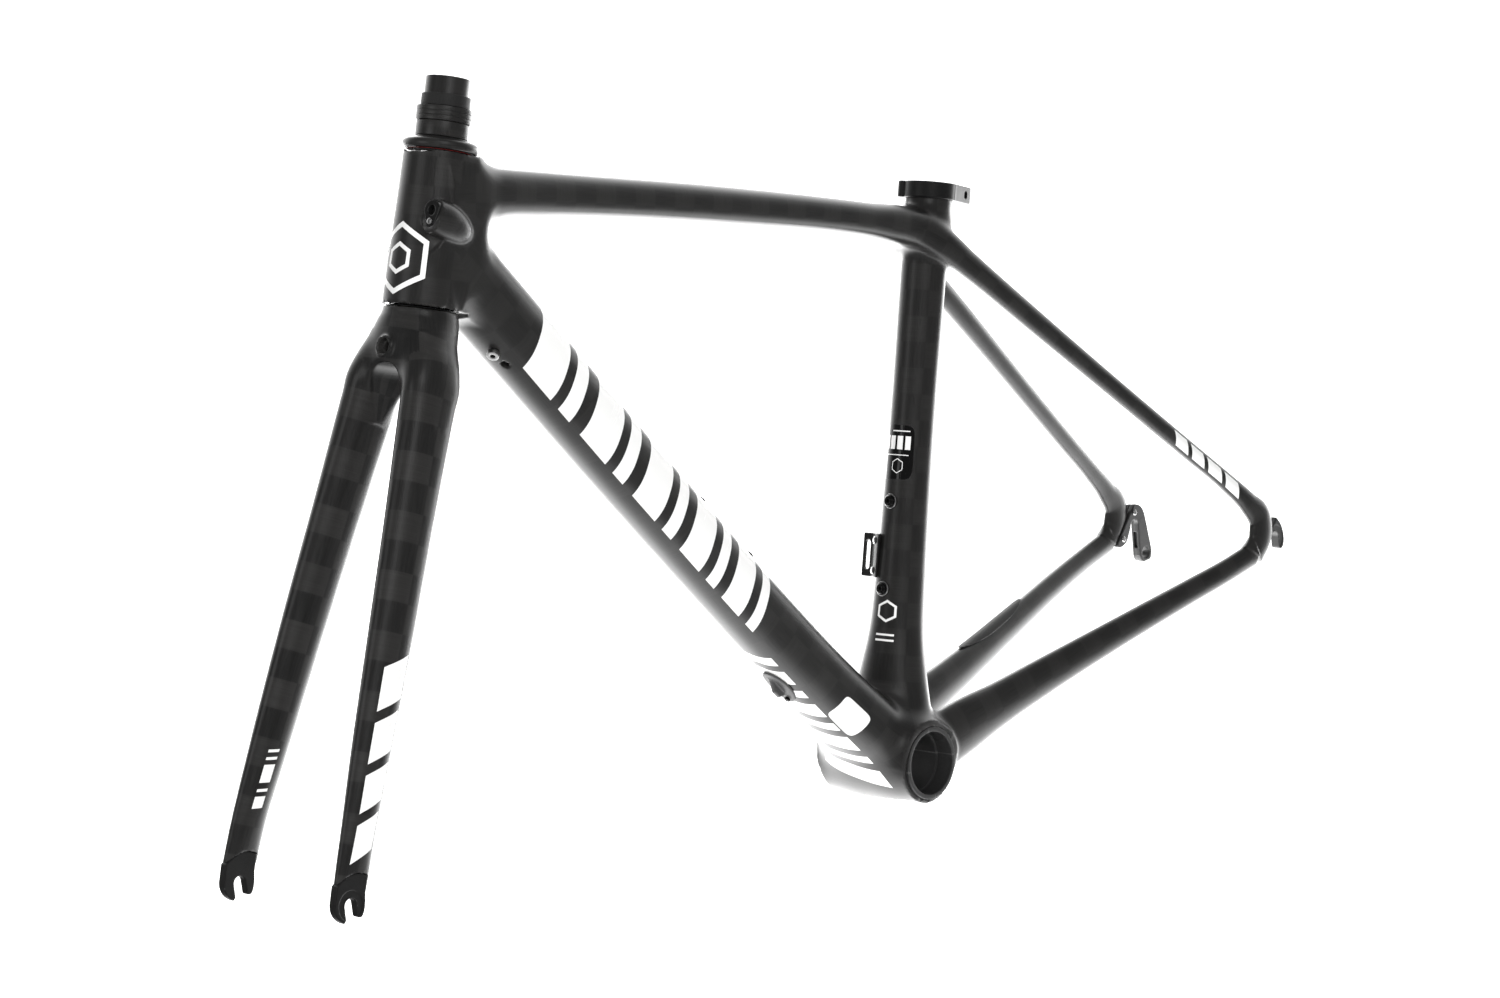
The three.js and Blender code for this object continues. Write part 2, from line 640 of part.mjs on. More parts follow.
function bottleBolt(surface) {
  const base = surface + BOSS_FACE_HEIGHT - BOLT_RECESS + GAP;
  const top = base + BOLT_HEAD_HEIGHT;
  const body = solid(
    turned([
      [0, base - BOSS_LENGTH],
      [BOSS_THREAD_RADIUS - GAP, base - BOSS_LENGTH],
      [BOSS_THREAD_RADIUS - GAP, base],
      [BOLT_HEAD_RADIUS, base],
      [BOLT_HEAD_RADIUS, base + 1.2],
      [BOLT_HEAD_RADIUS - 1.2, top],
      [0, top],
    ], 14),
  );
  const socket = new THREE.CylinderGeometry(1.6, 1.6, 3, 6).rotateX(Math.PI / 2).translate(0, 0, top);
  return body.subtract(solid(socket));
}

// The seat clamp: a band with two ears behind the seat tube, drawn from above.
const CLAMP_HEIGHT = 12;
const CLAMP_BOTTOM = SEAT_TUBE_LENGTH - 10.5;
const CLAMP_BORE_RADIUS = 17.3;
const CLAMP_RADIUS = 19.2;
const CLAMP_REACH = 38; // from the tube's axis back to the ends of the ears
const EAR_HALF_WIDTH = 7.5;
const EAR_TANGENT = 1.15; // where the band turns into an ear, in radians from the back
const CLAMP_BOLT_X = 29;

function seatClampCollar() {
  const shape = new THREE.Shape();
  shape.moveTo(CLAMP_REACH, -EAR_HALF_WIDTH);
  shape.lineTo(CLAMP_REACH, EAR_HALF_WIDTH);
  shape.lineTo(CLAMP_RADIUS * Math.cos(EAR_TANGENT), CLAMP_RADIUS * Math.sin(EAR_TANGENT));
  shape.absarc(0, 0, CLAMP_RADIUS, EAR_TANGENT, 2 * Math.PI - EAR_TANGENT, false);
  const band = extruded(shape, CLAMP_HEIGHT, 28);
  const nose = bar(4.6, CLAMP_HEIGHT - 1.6, 16).translate(-12.6, 13.6, 0.8);
  const slit = new THREE.BoxGeometry(30, 1.8, CLAMP_HEIGHT + 4).translate(28, 0, CLAMP_HEIGHT / 2);
  const boltHole = new THREE.CylinderGeometry(2.8, 2.8, 40, 16).translate(CLAMP_BOLT_X, 0, CLAMP_HEIGHT / 2);
  const headSeat = new THREE.CylinderGeometry(4.9, 4.9, 10, 20);
  headSeat.translate(CLAMP_BOLT_X, 12.2, CLAMP_HEIGHT / 2);
  const bore = bar(CLAMP_BORE_RADIUS, CLAMP_HEIGHT + 2, 36).translate(0, 0, -1);
  return cutBy(solid(band).add(solid(nose)), [bore, slit, boltHole, headSeat].map((cutter) => solid(cutter)));
}

// The clamp bolt lies across the bicycle with its head on the drive side.
function seatClampBolt() {
  const [shankRadius, headRadius, headFrom, headTo] = [2.45, 4.2, 7.6, 12.4];
  const body = turned([
    [0, -7.2],
    [shankRadius, -7.2],
    [shankRadius, headFrom],
    [headRadius, headFrom],
    [headRadius, headTo - 0.4],
    [headRadius - 0.4, headTo],
    [0, headTo],
  ], 20);
  const socket = new THREE.CylinderGeometry(2, 2, 5, 6).rotateX(Math.PI / 2).translate(0, 0, headTo);
  return solid(body).subtract(solid(socket));
}

// The front derailleur's bracket wraps the drive side of the seat tube; its tab has a vertical slot.
const BRACKET_HEIGHT = 32;
const BRACKET_BOTTOM = 130.5;
const BRACKET_INNER_RADIUS = 19;
const BRACKET_OUTER_RADIUS = 20.8;
const BRACKET_TAB_X = -9;
const BRACKET_TAB_ROOT = 17.5;
const BRACKET_TAB_REACH = 29;
const BRACKET_SLOT_Y = 24.6;
const BRACKET_TAB_THICKNESS = 3.2;
const BRACKET_WRAP = [100, 160].map(THREE.MathUtils.degToRad); // angles from the back, towards the drive side
const RIVET_ANGLE = THREE.MathUtils.degToRad(142);
const RIVET_INSET = 5; // from the ends of the bracket
const RIVET_HOLE_RADIUS = 1.7;

function derailleurBracket() {
  const shape = new THREE.Shape();
  const [first, last] = BRACKET_WRAP;
  shape.absarc(0, 0, BRACKET_INNER_RADIUS, first, last, false);
  shape.absarc(0, 0, BRACKET_OUTER_RADIUS, last, first, true);
  const wrap = extruded(shape, BRACKET_HEIGHT, 10);
  const tabLength = BRACKET_TAB_REACH - BRACKET_TAB_ROOT;
  const tab = new THREE.BoxGeometry(BRACKET_TAB_THICKNESS, tabLength, BRACKET_HEIGHT);
  tab.translate(BRACKET_TAB_X, BRACKET_TAB_ROOT + tabLength / 2, BRACKET_HEIGHT / 2);
  const slot = tube(prism(5.4, 22, -4, 4, 5)).rotateY(Math.PI / 2);
  slot.translate(BRACKET_TAB_X, BRACKET_SLOT_Y, BRACKET_HEIGHT / 2);
  const rivetHoles = drilled(bracketRivetPlaces(), RIVET_HOLE_RADIUS, 0, 30);
  return cutBy(solid(wrap).add(solid(tab)), [solid(slot), ...rivetHoles]);
}

function bracketRivetPlaces() {
  const outward = point(Math.cos(RIVET_ANGLE), Math.sin(RIVET_ANGLE), 0);
  const heights = [RIVET_INSET, BRACKET_HEIGHT - RIVET_INSET];
  return heights.map((height) => facing(point(0, 0, height), outward, point(0, 0, 1)));
}

function bracketRivet() {
  return turned([
    [0, BRACKET_INNER_RADIUS + GAP],
    [RIVET_HOLE_RADIUS - GAP, BRACKET_INNER_RADIUS + GAP],
    [RIVET_HOLE_RADIUS - GAP, BRACKET_OUTER_RADIUS + GAP],
    [2.9, BRACKET_OUTER_RADIUS + GAP],
    [2.4, BRACKET_OUTER_RADIUS + 1.2],
    [0, BRACKET_OUTER_RADIUS + 1.6],
  ], 12);
}

const PORT_SCREW_Z = 53;

// The insert that closes the cable pod's mouth: a plug with a cable hole above its screw.
function cablePortInsert() {
  const plug = solid(tube(podBar(-21.6, -17.6, 8.8, 13.3, 20)));
  const cableHole = new THREE.CylinderGeometry(2.4, 2.4, 12, 16).rotateZ(Math.PI / 2);
  cableHole.translate(-20, POD_Y, 59.6);
  const screwHole = new THREE.CylinderGeometry(1.5, 1.5, 12, 12).rotateZ(Math.PI / 2);
  screwHole.translate(-20, POD_Y, PORT_SCREW_Z);
  return cutBy(plug, [solid(cableHole), solid(screwHole)]);
}

function smallScrew(headRadius, shankRadius, shank) {
  const body = turned([
    [0, -shank],
    [shankRadius, -shank],
    [shankRadius, 0],
    [headRadius, 0],
    [headRadius * 0.8, 1.2],
    [0, 1.4],
  ], 16);
  const socket = new THREE.CylinderGeometry(0.9, 0.9, 1.6, 6).rotateX(Math.PI / 2).translate(0, 0, 1.4);
  return solid(body).subtract(solid(socket));
}

const COVER_THICKNESS = 1.6;

// The cover over the down tube's opening follows the tube's skin and carries a fin for the gear cable.
function portCover() {
  const outer = solid(tube(downTubeForm, COVER_THICKNESS + GAP));
  const lid = solid(tube(prism(19, 36, 10, 40)), portFacing).intersect(outer).subtract(downCutter);
  const finOutline = outline([
    [-9, 25.6],
    [-4, 31.6],
    [2, 31.6],
    [13, 25.6],
  ]);
  const fin = solid(plate(finOutline, -2, 2), portFacing);
  const screwHole = solid(bar(1.6, 30, 12).translate(0, 0, 14), portScrewAxis);
  return lid.add(fin.subtract(downCutter)).subtract(screwHole);
}

// The ring that lines the upper of the two cable holes, with its flange on the tube's skin.
function cableGrommet() {
  return turned([
    [1.7, 20],
    [SIDE_HOLE_RADIUS - GAP, 20],
    [SIDE_HOLE_RADIUS - GAP, 25.4],
    [3.9, 25.4],
    [3.7, 26.1],
    [1.7, 26.1],
  ], 16);
}

const GUARD_THICKNESS = 1.1;

// The strip that shields the drive-side chain stay from the chain.
function chainStayGuard() {
  const form = chainStayForm(1);
  const outer = solid(tube(form, GUARD_THICKNESS + GAP));
  const run = point(1, 0.16, 0.175).normalize();
  const zone = new THREE.BoxGeometry(150, 16, 30);
  const [side, rise] = [point(-run.y, run.x, 0).normalize(), point(-0.17, 0, 1).normalize()];
  const turn = new THREE.Matrix4().makeBasis(run, side, rise);
  return outer.subtract(clearance(form)).intersect(solid(zone, shift(190, 48, 57).multiply(turn)));
}

// ---- Headset and steerer, in the head frame --------------------------------------------------------

const BALL_RADIUS = 1.4;
const BALLS = 12;
const GROOVE_DEPTH = 1;

// A bearing race: a flat ring with a groove for the balls on the face given by its sign.
function race(inner, outer, bottom, height, grooveOutside) {
  const mid = bottom + height / 2;
  const top = bottom + height;
  const wall = grooveOutside ? outer : inner;
  const floor = grooveOutside ? wall - GROOVE_DEPTH : wall + GROOVE_DEPTH;
  const dip = [
    [wall, mid - 2.4],
    [floor, mid - 1.2],
    [floor, mid + 1.2],
    [wall, mid + 2.4],
  ];
  const loop = grooveOutside
    ? [[inner, bottom], [outer, bottom], ...dip, [outer, top], [inner, top]]
    : [[inner, bottom], [outer, bottom], [outer, top], [inner, top], ...dip.reverse()];
  return turned(loop, 28);
}

// The balls of one bearing, held in their cage.
function ballRing(pitchRadius, mid) {
  const cage = turned([
    [pitchRadius - 0.45, mid - 1],
    [pitchRadius + 0.45, mid - 1],
    [pitchRadius + 0.45, mid + 1],
    [pitchRadius - 0.45, mid + 1],
  ], BALLS);
  let ring = solid(cage);
  for (let i = 0; i < BALLS; i++) {
    const angle = (2 * Math.PI * (i + 0.5)) / BALLS;
    const spot = shift(pitchRadius * Math.cos(angle), pitchRadius * Math.sin(angle), mid);
    ring = ring.add(solid(new THREE.IcosahedronGeometry(BALL_RADIUS), spot));
  }
  return ring;
}

const LOWER_BEARING = { inner: 17, outer: LOWER_BEARING_RADIUS, thick: 2.3, bottom: 0.8, height: 6.8 };
const UPPER_BEARING = { inner: 15.6, outer: UPPER_BEARING_RADIUS, thick: 1.9, bottom: 91.3, height: 7 };

const pitchOf = ({ inner, outer }) => (inner + outer) / 2;
const middleOf = ({ bottom, height }) => bottom + height / 2;

const STEERER_TOP = HEAD_TUBE_LENGTH + 48;
const STEERER_BOTTOM = -34;
const STEERER_BORE_RADIUS = 11.9;
const STEERER_FOOT_RADIUS = 16.4;

function steererTube() {
  return turned([
    [STEERER_BORE_RADIUS, STEERER_BOTTOM],
    [14.5, STEERER_BOTTOM],
    [STEERER_FOOT_RADIUS, -10],
    [STEERER_FOOT_RADIUS, 8],
    [STEERER_RADIUS, 82],
    [STEERER_RADIUS, STEERER_TOP],
    [STEERER_BORE_RADIUS, STEERER_TOP],
  ], 24);
}

function crownRace() {
  const bore = STEERER_FOOT_RADIUS + GAP;
  return turned([
    [bore, -1.2],
    [22.6, -1.2],
    [22.6, -0.4],
    [19.2, 0.4],
    [bore, 0.4],
  ], 24);
}

function compressionRing() {
  const ring = solid(
    turned([
      [STEERER_RADIUS + GAP, 93.5],
      [15.3, 93.5],
      [15.3, 98.6],
      [17.6, 99.4],
      [17.6, 100.4],
      [STEERER_RADIUS + GAP, 100.4],
    ]),
  );
  return ring.subtract(solid(new THREE.BoxGeometry(6, 1.2, 12).translate(16, 0, 97)));
}

function topCover() {
  const foot = HEAD_TUBE_LENGTH + 1.1;
  return turned([
    [21.4, foot],
    [23.3, foot],
    [23.4, foot + 1.6],
    [21.8, foot + 3.2],
    [18.6, foot + 4.8],
    [17.2, foot + 6.6],
    [17.1, foot + 7.9],
    [STEERER_RADIUS + 0.4, foot + 7.9],
    [STEERER_RADIUS + 0.4, foot + 3.6],
    [20.4, foot + 1.4],
  ], 24);
}

function coverSeal() {
  const foot = HEAD_TUBE_LENGTH + GAP;
  return turned([
    [19.4, foot],
    [22.4, foot],
    [22.4, foot + 0.5],
    [19.4, foot + 0.5],
  ]);
}

function spacer(bottom, height, radius) {
  return turned([
    [STEERER_RADIUS + 0.2, bottom],
    [radius, bottom],
    [radius, bottom + height],
    [STEERER_RADIUS + 0.2, bottom + height],
  ], 24);
}

const SPACERS = [
  ['spacer_10mm', 109.3, 9.7, 17.1],
  ['spacer_3mm_lower', 119.3, 2.8, 17.9],
  ['spacer_3mm_middle', 122.4, 2.8, 17.9],
  ['spacer_3mm_upper', 125.5, 2.8, 17.9],
  ['steerer_guard_band', 129, 7.6, 15.8],
];

// ---- Fork, in the head frame -----------------------------------------------------------------------

const CROWN_TOP = -1.6;
const BLADE_TOP = -48;

const crownForm = {
  rings: 8,
  around: 24,
  stations: [
    { at: point(0, 0, CROWN_TOP), wide: 48, deep: 48 },
    { at: point(0, 0, -8), wide: 51, deep: 49, square: 2.1 },
    { at: point(-3, 0, -24), wide: 63, deep: 47, square: 2.3 },
    { at: point(-6, 0, -38), wide: 75, deep: 44, square: 2.6 },
    { at: point(-7.5, 0, BLADE_TOP), wide: 79, deep: 42.5, square: 2.9 },
  ],
};

// The arch over the tyre, drawn across the bicycle.
function archOutline() {
  const shape = new THREE.Shape();
  shape.moveTo(-14, -70);
  shape.lineTo(14, -70);
  shape.lineTo(13, -52);
  shape.quadraticCurveTo(12.5, -37, 0, -37);
  shape.quadraticCurveTo(-12.5, -37, -13, -52);
  return shape;
}

const BRAKE_HOLE_HEIGHT = -27.8;

function forkCrown() {
  const body = solid(tube(crownForm));
  const arch = extruded(archOutline(), 80, 8);
  arch.rotateX(Math.PI / 2).rotateZ(Math.PI / 2).translate(-40, 0, 0);
  const steererBore = bar(STEERER_FOOT_RADIUS + 0.4, 60, 36).translate(0, 0, STEERER_BOTTOM - 0.4);
  const brakeHole = new THREE.CylinderGeometry(3.1, 3.1, 80, 16).rotateZ(Math.PI / 2);
  brakeHole.translate(0, 0, BRAKE_HOLE_HEIGHT);
  const [floorX, recessDepth] = [-24, 6];
  const brakeRecess = new THREE.CylinderGeometry(7, 6, recessDepth, 24).rotateZ(Math.PI / 2);
  brakeRecess.translate(floorX - recessDepth / 2, 0, BRAKE_HOLE_HEIGHT);
  return cutBy(body, [solid(arch), solid(steererBore), solid(brakeHole), solid(brakeRecess)]);
}

const bladeForm = (side) => ({
  rings: 12,
  around: 16,
  stations: [
    { at: point(-7.6, 26.2 * side, BLADE_TOP - GAP), wide: 26, deep: 41.6, square: 2.4 },
    { at: point(-9.8, 27.6 * side, -62), wide: 26, deep: 40, square: 2.3 },
    { at: point(-19.4, 34 * side, -130), wide: 24.4, deep: 36.6 },
    { at: point(-30.7, 41.4 * side, -210), wide: 21.6, deep: 33 },
    { at: point(-41.6, 47.8 * side, -290), wide: 17.8, deep: 28.8 },
    { at: point(-47.6, 51.6 * side, -338), wide: 15, deep: 26.8 },
    { at: point(-50, 53 * side, -366), wide: 11, deep: 26.8, square: 2.4 },
  ],
});

const FORK_SLOT_RADIUS = 4.6;
const FORK_DROPOUT_THICKNESS = 5.5;
const forkAxle = point(-FORK_RAKE, 0, -FORK_LENGTH);
const forkTipFrame = new THREE.Matrix4().makeRotationY(-HEAD_TILT).setPosition(forkAxle);

// A fork tip seen from the side, drawn about the axle with its slot opening straight down.
function forkTipOutline(extra) {
  const shape = new THREE.Shape();
  shape.moveTo(-16.5 - extra, 4);
  shape.quadraticCurveTo(-15.5 - extra, -4 - extra, -6.6, -9.8 - extra);
  shape.lineTo(-FORK_SLOT_RADIUS, -8);
  shape.lineTo(-FORK_SLOT_RADIUS, 0);
  shape.absarc(0, 0, FORK_SLOT_RADIUS, Math.PI, 0, true);
  shape.lineTo(FORK_SLOT_RADIUS, -8);
  shape.quadraticCurveTo(5.5, -10 - extra, 8, -9.6 - extra);
  shape.quadraticCurveTo(11.5 + extra, -7, 12.2 + extra, 4);
  shape.lineTo(11 + extra, 13 + extra);
  shape.lineTo(-10 - extra, 18 + extra);
  return shape;
}

function forkTip(side) {
  const inner = FRONT_SPACING / 2;
  const near = side > 0 ? inner : -inner - FORK_DROPOUT_THICKNESS;
  return solid(plate(forkTipOutline(0), near, near + FORK_DROPOUT_THICKNESS), forkTipFrame);
}

function forkBlade(side) {
  const body = hollowTube(bladeForm(side));
  const near = side > 0 ? 30 : -80;
  const tip = solid(plate(forkTipOutline(GAP), near, near + 50), forkTipFrame);
  return body.subtract(tip).subtract(clearance(crownForm));
}

// ---- The assembly ----------------------------------------------------------------------------------

const frameset = new THREE.Group();
const headGroup = new THREE.Group();
headGroup.applyMatrix4(headFrame);
const seatGroup = new THREE.Group();
seatGroup.applyMatrix4(seatFrame);
frameset.add(headGroup, seatGroup);

addMesh(headGroup, 'head_tube', headTube(), carbon);
addMesh(frameset, 'top_tube', topTube(), carbon);
addMesh(frameset, 'down_tube', downTube(), carbon);
addMesh(frameset, 'seat_tube', seatTube(), carbon);
addMesh(frameset, 'bottom_bracket_shell', bottomBracketShell, carbon);
for (const [name, side] of SIDES) {
  addMesh(frameset, `seat_stay_${name}`, seatStay(name, side), carbon);
  addMesh(frameset, `chain_stay_${name}`, chainStay(name, side), carbon);
}

addMesh(frameset, 'rear_dropout_left', rearDropoutLeft(), darkAlloy);
addMesh(frameset, 'rear_dropout_right', rearDropoutRight(), darkAlloy);
addMesh(frameset, 'derailleur_hanger', derailleurHanger(), darkAlloy);
for (const [name, x, z] of HANGER_SCREWS) {
  const place = shift(REAR_AXLE.x + x, innerFace - HANGER_SCREW_SINK, REAR_AXLE.z + z);
  addMesh(frameset, `hanger_screw_${name}`, hangerScrew(), blackSteel, place.multiply(acrossOutward()));
}

const LEVELS = ['lower', 'upper'];
LEVELS.forEach((level, i) => {
  for (const [name, surface, place] of [
    ['seat_tube', SEAT_BOSS_SURFACE[i], seatBosses[i]],
    ['down_tube', DOWN_BOSS_SURFACE[i], downBosses[i]],
  ]) {
    addMesh(frameset, `${name}_boss_${level}`, bossInsert(surface), bareAlloy, place);
    addMesh(frameset, `${name}_bottle_bolt_${level}`, bottleBolt(surface), blackSteel, place);
  }
});

addMesh(seatGroup, 'seat_clamp_collar', seatClampCollar(), anodised, shift(0, 0, CLAMP_BOTTOM));
const clampBoltPlace = shift(CLAMP_BOLT_X, 0, CLAMP_BOTTOM + CLAMP_HEIGHT / 2).multiply(acrossOutward());
addMesh(seatGroup, 'seat_clamp_bolt', seatClampBolt(), blackSteel, clampBoltPlace);
const bracketPlace = shift(0, 0, BRACKET_BOTTOM);
addMesh(seatGroup, 'front_derailleur_bracket', derailleurBracket(), anodised, bracketPlace);
bracketRivetPlaces().forEach((onBracket, i) => {
  const place = bracketPlace.clone().multiply(onBracket);
  addMesh(seatGroup, `bracket_rivet_${LEVELS[i]}`, bracketRivet(), bareAlloy, place);
});

addMesh(headGroup, 'cable_port_insert', cablePortInsert(), glossPlastic);
const forwards = new THREE.Matrix4().makeRotationY(-Math.PI / 2);
const portScrewPlace = shift(-21.9, POD_Y, PORT_SCREW_Z).multiply(forwards);
addMesh(headGroup, 'cable_port_screw', smallScrew(2.2, 1.2, 4), steel, portScrewPlace);
addMesh(frameset, 'down_tube_port_cover', portCover(), greyPlastic);
const coverScrewPlace = portScrewAxis.clone().multiply(shift(0, 0, PORT_SCREW_HEIGHT));
addMesh(frameset, 'port_cover_screw', smallScrew(2.4, 1.3, 6), blackSteel, coverScrewPlace);
addMesh(frameset, 'down_tube_cable_grommet', cableGrommet(), bareAlloy, sideHoles[0]);
addMesh(frameset, 'chain_stay_guard', chainStayGuard(), mattePlastic);

const BEARINGS = [LOWER_BEARING, UPPER_BEARING];
BEARINGS.forEach((bearing, i) => {
  const level = LEVELS[i];
  const { inner, outer, thick, bottom, height } = bearing;
  const outerRace = race(outer - thick, outer, bottom, height, false);
  const innerRace = race(inner, inner + thick, bottom, height, true);
  addMesh(headGroup, `${level}_bearing_outer_race`, outerRace, steel);
  addMesh(headGroup, `${level}_bearing_inner_race`, innerRace, steel);
  addMesh(headGroup, `${level}_bearing_balls`, ballRing(pitchOf(bearing), middleOf(bearing)), steel);
});

addMesh(headGroup, 'steerer_tube', steererTube(), carbon);
addMesh(headGroup, 'crown_race', crownRace(), blackSteel);
addMesh(headGroup, 'compression_ring', compressionRing(), anodised);
addMesh(headGroup, 'headset_top_cover', topCover(), anodised);
addMesh(headGroup, 'headset_cover_seal', coverSeal(), redRubber);
for (const [name, bottom, height, radius] of SPACERS) {
  const material = name === 'steerer_guard_band' ? mattePlastic : carbon;
  addMesh(headGroup, name, spacer(bottom, height, radius), material);
}
addMesh(headGroup, 'fork_crown', forkCrown(), carbon);
for (const [name, side] of SIDES) {
  addMesh(headGroup, `fork_blade_${name}`, forkBlade(side), carbon);
  addMesh(headGroup, `fork_dropout_${name}`, forkTip(side), darkAlloy);
}

const frontAxle = forkAxle.clone().applyMatrix4(headFrame);
frameset.position.set(-(REAR_AXLE.x + frontAxle.x) / 2, 0, SHELL_RADIUS);

export default frameset;
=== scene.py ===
"""Looks of a carbon racing bicycle frameset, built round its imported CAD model.

Shapes are drawn in millimetres about the centre of the bottom bracket, or in the head tube's or the seat
tube's own frame, and placed in metres. +X points to the rear wheel, +Y to the drive side and +Z up.
"""

import functools
import math

import bmesh
import bpy
import numpy as np
import openvdb
from mathutils import Matrix, Vector


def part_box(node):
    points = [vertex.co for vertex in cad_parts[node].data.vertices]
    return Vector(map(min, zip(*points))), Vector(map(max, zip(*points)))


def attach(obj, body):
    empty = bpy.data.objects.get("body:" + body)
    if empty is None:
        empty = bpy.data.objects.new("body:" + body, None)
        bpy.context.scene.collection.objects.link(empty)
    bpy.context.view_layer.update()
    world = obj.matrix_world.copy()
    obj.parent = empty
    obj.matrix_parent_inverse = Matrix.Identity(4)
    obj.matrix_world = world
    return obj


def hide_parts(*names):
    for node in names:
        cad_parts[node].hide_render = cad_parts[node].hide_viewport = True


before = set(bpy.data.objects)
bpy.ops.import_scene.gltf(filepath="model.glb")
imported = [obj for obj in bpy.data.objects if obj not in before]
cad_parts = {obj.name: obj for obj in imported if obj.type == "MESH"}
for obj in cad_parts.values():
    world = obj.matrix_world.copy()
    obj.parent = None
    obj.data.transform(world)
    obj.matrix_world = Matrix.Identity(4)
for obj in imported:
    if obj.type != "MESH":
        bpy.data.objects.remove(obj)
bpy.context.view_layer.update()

# ---- Sizes, in millimetres ----

MM = 0.001
HEAD_TILT = math.radians(19)
SEAT_TILT = math.radians(15.5)
STACK, REACH = 507, 364
HEAD_TUBE_LENGTH = 100
SEAT_TUBE_LENGTH = 419.5
CHAIN_STAY_LENGTH, BB_DROP = 408, 73
FORK_LENGTH, FORK_RAKE = 376, 49.5
REAR_SPACING, FRONT_SPACING = 130, 100
BB_WIDTH = 86.5
BB_SLEEVE_RADIUS = 26.35
LOWER_BEARING_RADIUS, UPPER_BEARING_RADIUS = 23.65, 21.15
SEATPOST_BORE_RADIUS = 13.7
STEERER_BORE_RADIUS, SPACER_BORE_RADIUS = 11.9, 14.5
REAR_DROPOUT_THICKNESS, FORK_TIP_THICKNESS, HANGER_THICKNESS = 8, 5.5, 4
VOXEL = 1.4  # grid of the moulded shells
FORK_VOXEL = 1.15
FIBRE_SQUARE = 19.0  # side of one square of the carbon chequer


def shift(x, y, z):
    return Matrix.Translation((x, y, z))


def turn_y(angle):
    return Matrix.Rotation(angle, 4, "Y")


bb_low, bb_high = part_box("bottom_bracket_shell")
BASE = Matrix.Translation((bb_low + bb_high) / 2 / MM)
HEAD_FOOT = Vector((
    -REACH - HEAD_TUBE_LENGTH * math.sin(HEAD_TILT),
    0,
    STACK - HEAD_TUBE_LENGTH * math.cos(HEAD_TILT),
))
HEAD = BASE @ Matrix.Translation(HEAD_FOOT) @ turn_y(HEAD_TILT)
SEAT = BASE @ turn_y(SEAT_TILT)
REAR_AXLE = Vector((math.sqrt(CHAIN_STAY_LENGTH**2 - BB_DROP**2), 0, BB_DROP))
AXLE = BASE @ Matrix.Translation(REAR_AXLE)
FORK_TIP = HEAD @ shift(-FORK_RAKE, 0, -FORK_LENGTH) @ turn_y(-HEAD_TILT)
OUTWARD_Y = Matrix.Rotation(-math.pi / 2, 4, "X")  # turns +Z to +Y

# ---- Making meshes ----


def add_object(name, mesh, body, nodes, look):
    """A visible piece that replaces CAD nodes. A look is a material and the name of a slot; the slot name is
    not used.
    """
    material, slot = look
    piece = bpy.data.objects.new(name, mesh)
    bpy.context.scene.collection.objects.link(piece)
    piece.data.materials.append(material)
    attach(piece, body)
    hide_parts(*nodes)
    return piece


def mesh_of(name, points, faces, place=None):
    """A mesh from points in millimetres, put in place and turned to metres."""
    points = np.asarray(points, float)
    if place is not None:
        turn = np.array(place)
        points = points @ turn[:3, :3].T + turn[:3, 3]
    mesh = bpy.data.meshes.new(name)
    mesh.from_pydata((points * MM).tolist(), [], [list(map(int, face)) for face in faces])
    mesh.update()
    return mesh


def smooth_by_angle(mesh, degrees=35):
    mesh.shade_smooth()
    mesh.set_sharp_from_angle(angle=math.radians(degrees))


def face_outward(mesh):
    shell = bmesh.new()
    shell.from_mesh(mesh)
    bmesh.ops.recalc_face_normals(shell, faces=shell.faces)
    shell.to_mesh(mesh)
    shell.free()


def turned(name, outline, place, segments=96):
    """A mesh turned about the place's Z axis.

    The outline is a list of (radius, height), and a radius of 0 closes it.
    """
    points, rings = [], []
    for radius, height in outline:
        if radius == 0:
            rings.append([len(points)] * segments)
            points.append((0, 0, height))
            continue
        rings.append(list(range(len(points), len(points) + segments)))
        for i in range(segments):
            angle = 2 * math.pi * i / segments
            points.append((radius * math.cos(angle), radius * math.sin(angle), height))
    faces = []
    closed = outline[0][0] != 0
    for low, high in zip(rings, rings[1:] + (rings[:1] if closed else [])):
        for i in range(segments):
            j = (i + 1) % segments
            faces.append(list(dict.fromkeys([low[i], low[j], high[j], high[i]])))
    mesh = mesh_of(name, points, [face for face in faces if len(face) > 2], place)
    face_outward(mesh)
    smooth_by_angle(mesh)
    return mesh


def rounded(outline, radius=0.4, steps=3, closed=True):
    """The outline with its corners rounded off."""
    count = len(outline)
    result = []
    for i, corner in enumerate(outline):
        here = Vector(corner)
        if not closed and i in (0, count - 1):
            result.append(tuple(here))
            continue
        before, after = Vector(outline[i - 1]) - here, Vector(outline[(i + 1) % count]) - here
        cut = min(radius, before.length * 0.45, after.length * 0.45)
        start, end = here + before.normalized() * cut, here + after.normalized() * cut
        for step in range(steps + 1):
            t = step / steps
            spot = start * (1 - t) ** 2 + here * 2 * t * (1 - t) + end * t**2
            result.append(tuple(spot))
    return result


def curve_points(start, *curves, steps=10):
    """An outline from a start point and pieces: a point is a line to it, and a pair is a quadratic curve."""
    outline = [Vector(start)]
    for piece in curves:
        if isinstance(piece[0], tuple):
            here, control, end = outline[-1], Vector(piece[0]), Vector(piece[1])
            for step in range(1, steps + 1):
                t = step / steps
                outline.append(here * (1 - t) ** 2 + control * 2 * t * (1 - t) + end * t**2)
        else:
            outline.append(Vector(piece))
    return [tuple(spot) for spot in outline]


def half_circle(radius, steps=16):
    """Points over the top of a circle, from its left to its right."""
    angles = [math.pi * (1 - i / steps) for i in range(steps + 1)]
    return [(radius * math.cos(angle), radius * math.sin(angle)) for angle in angles]


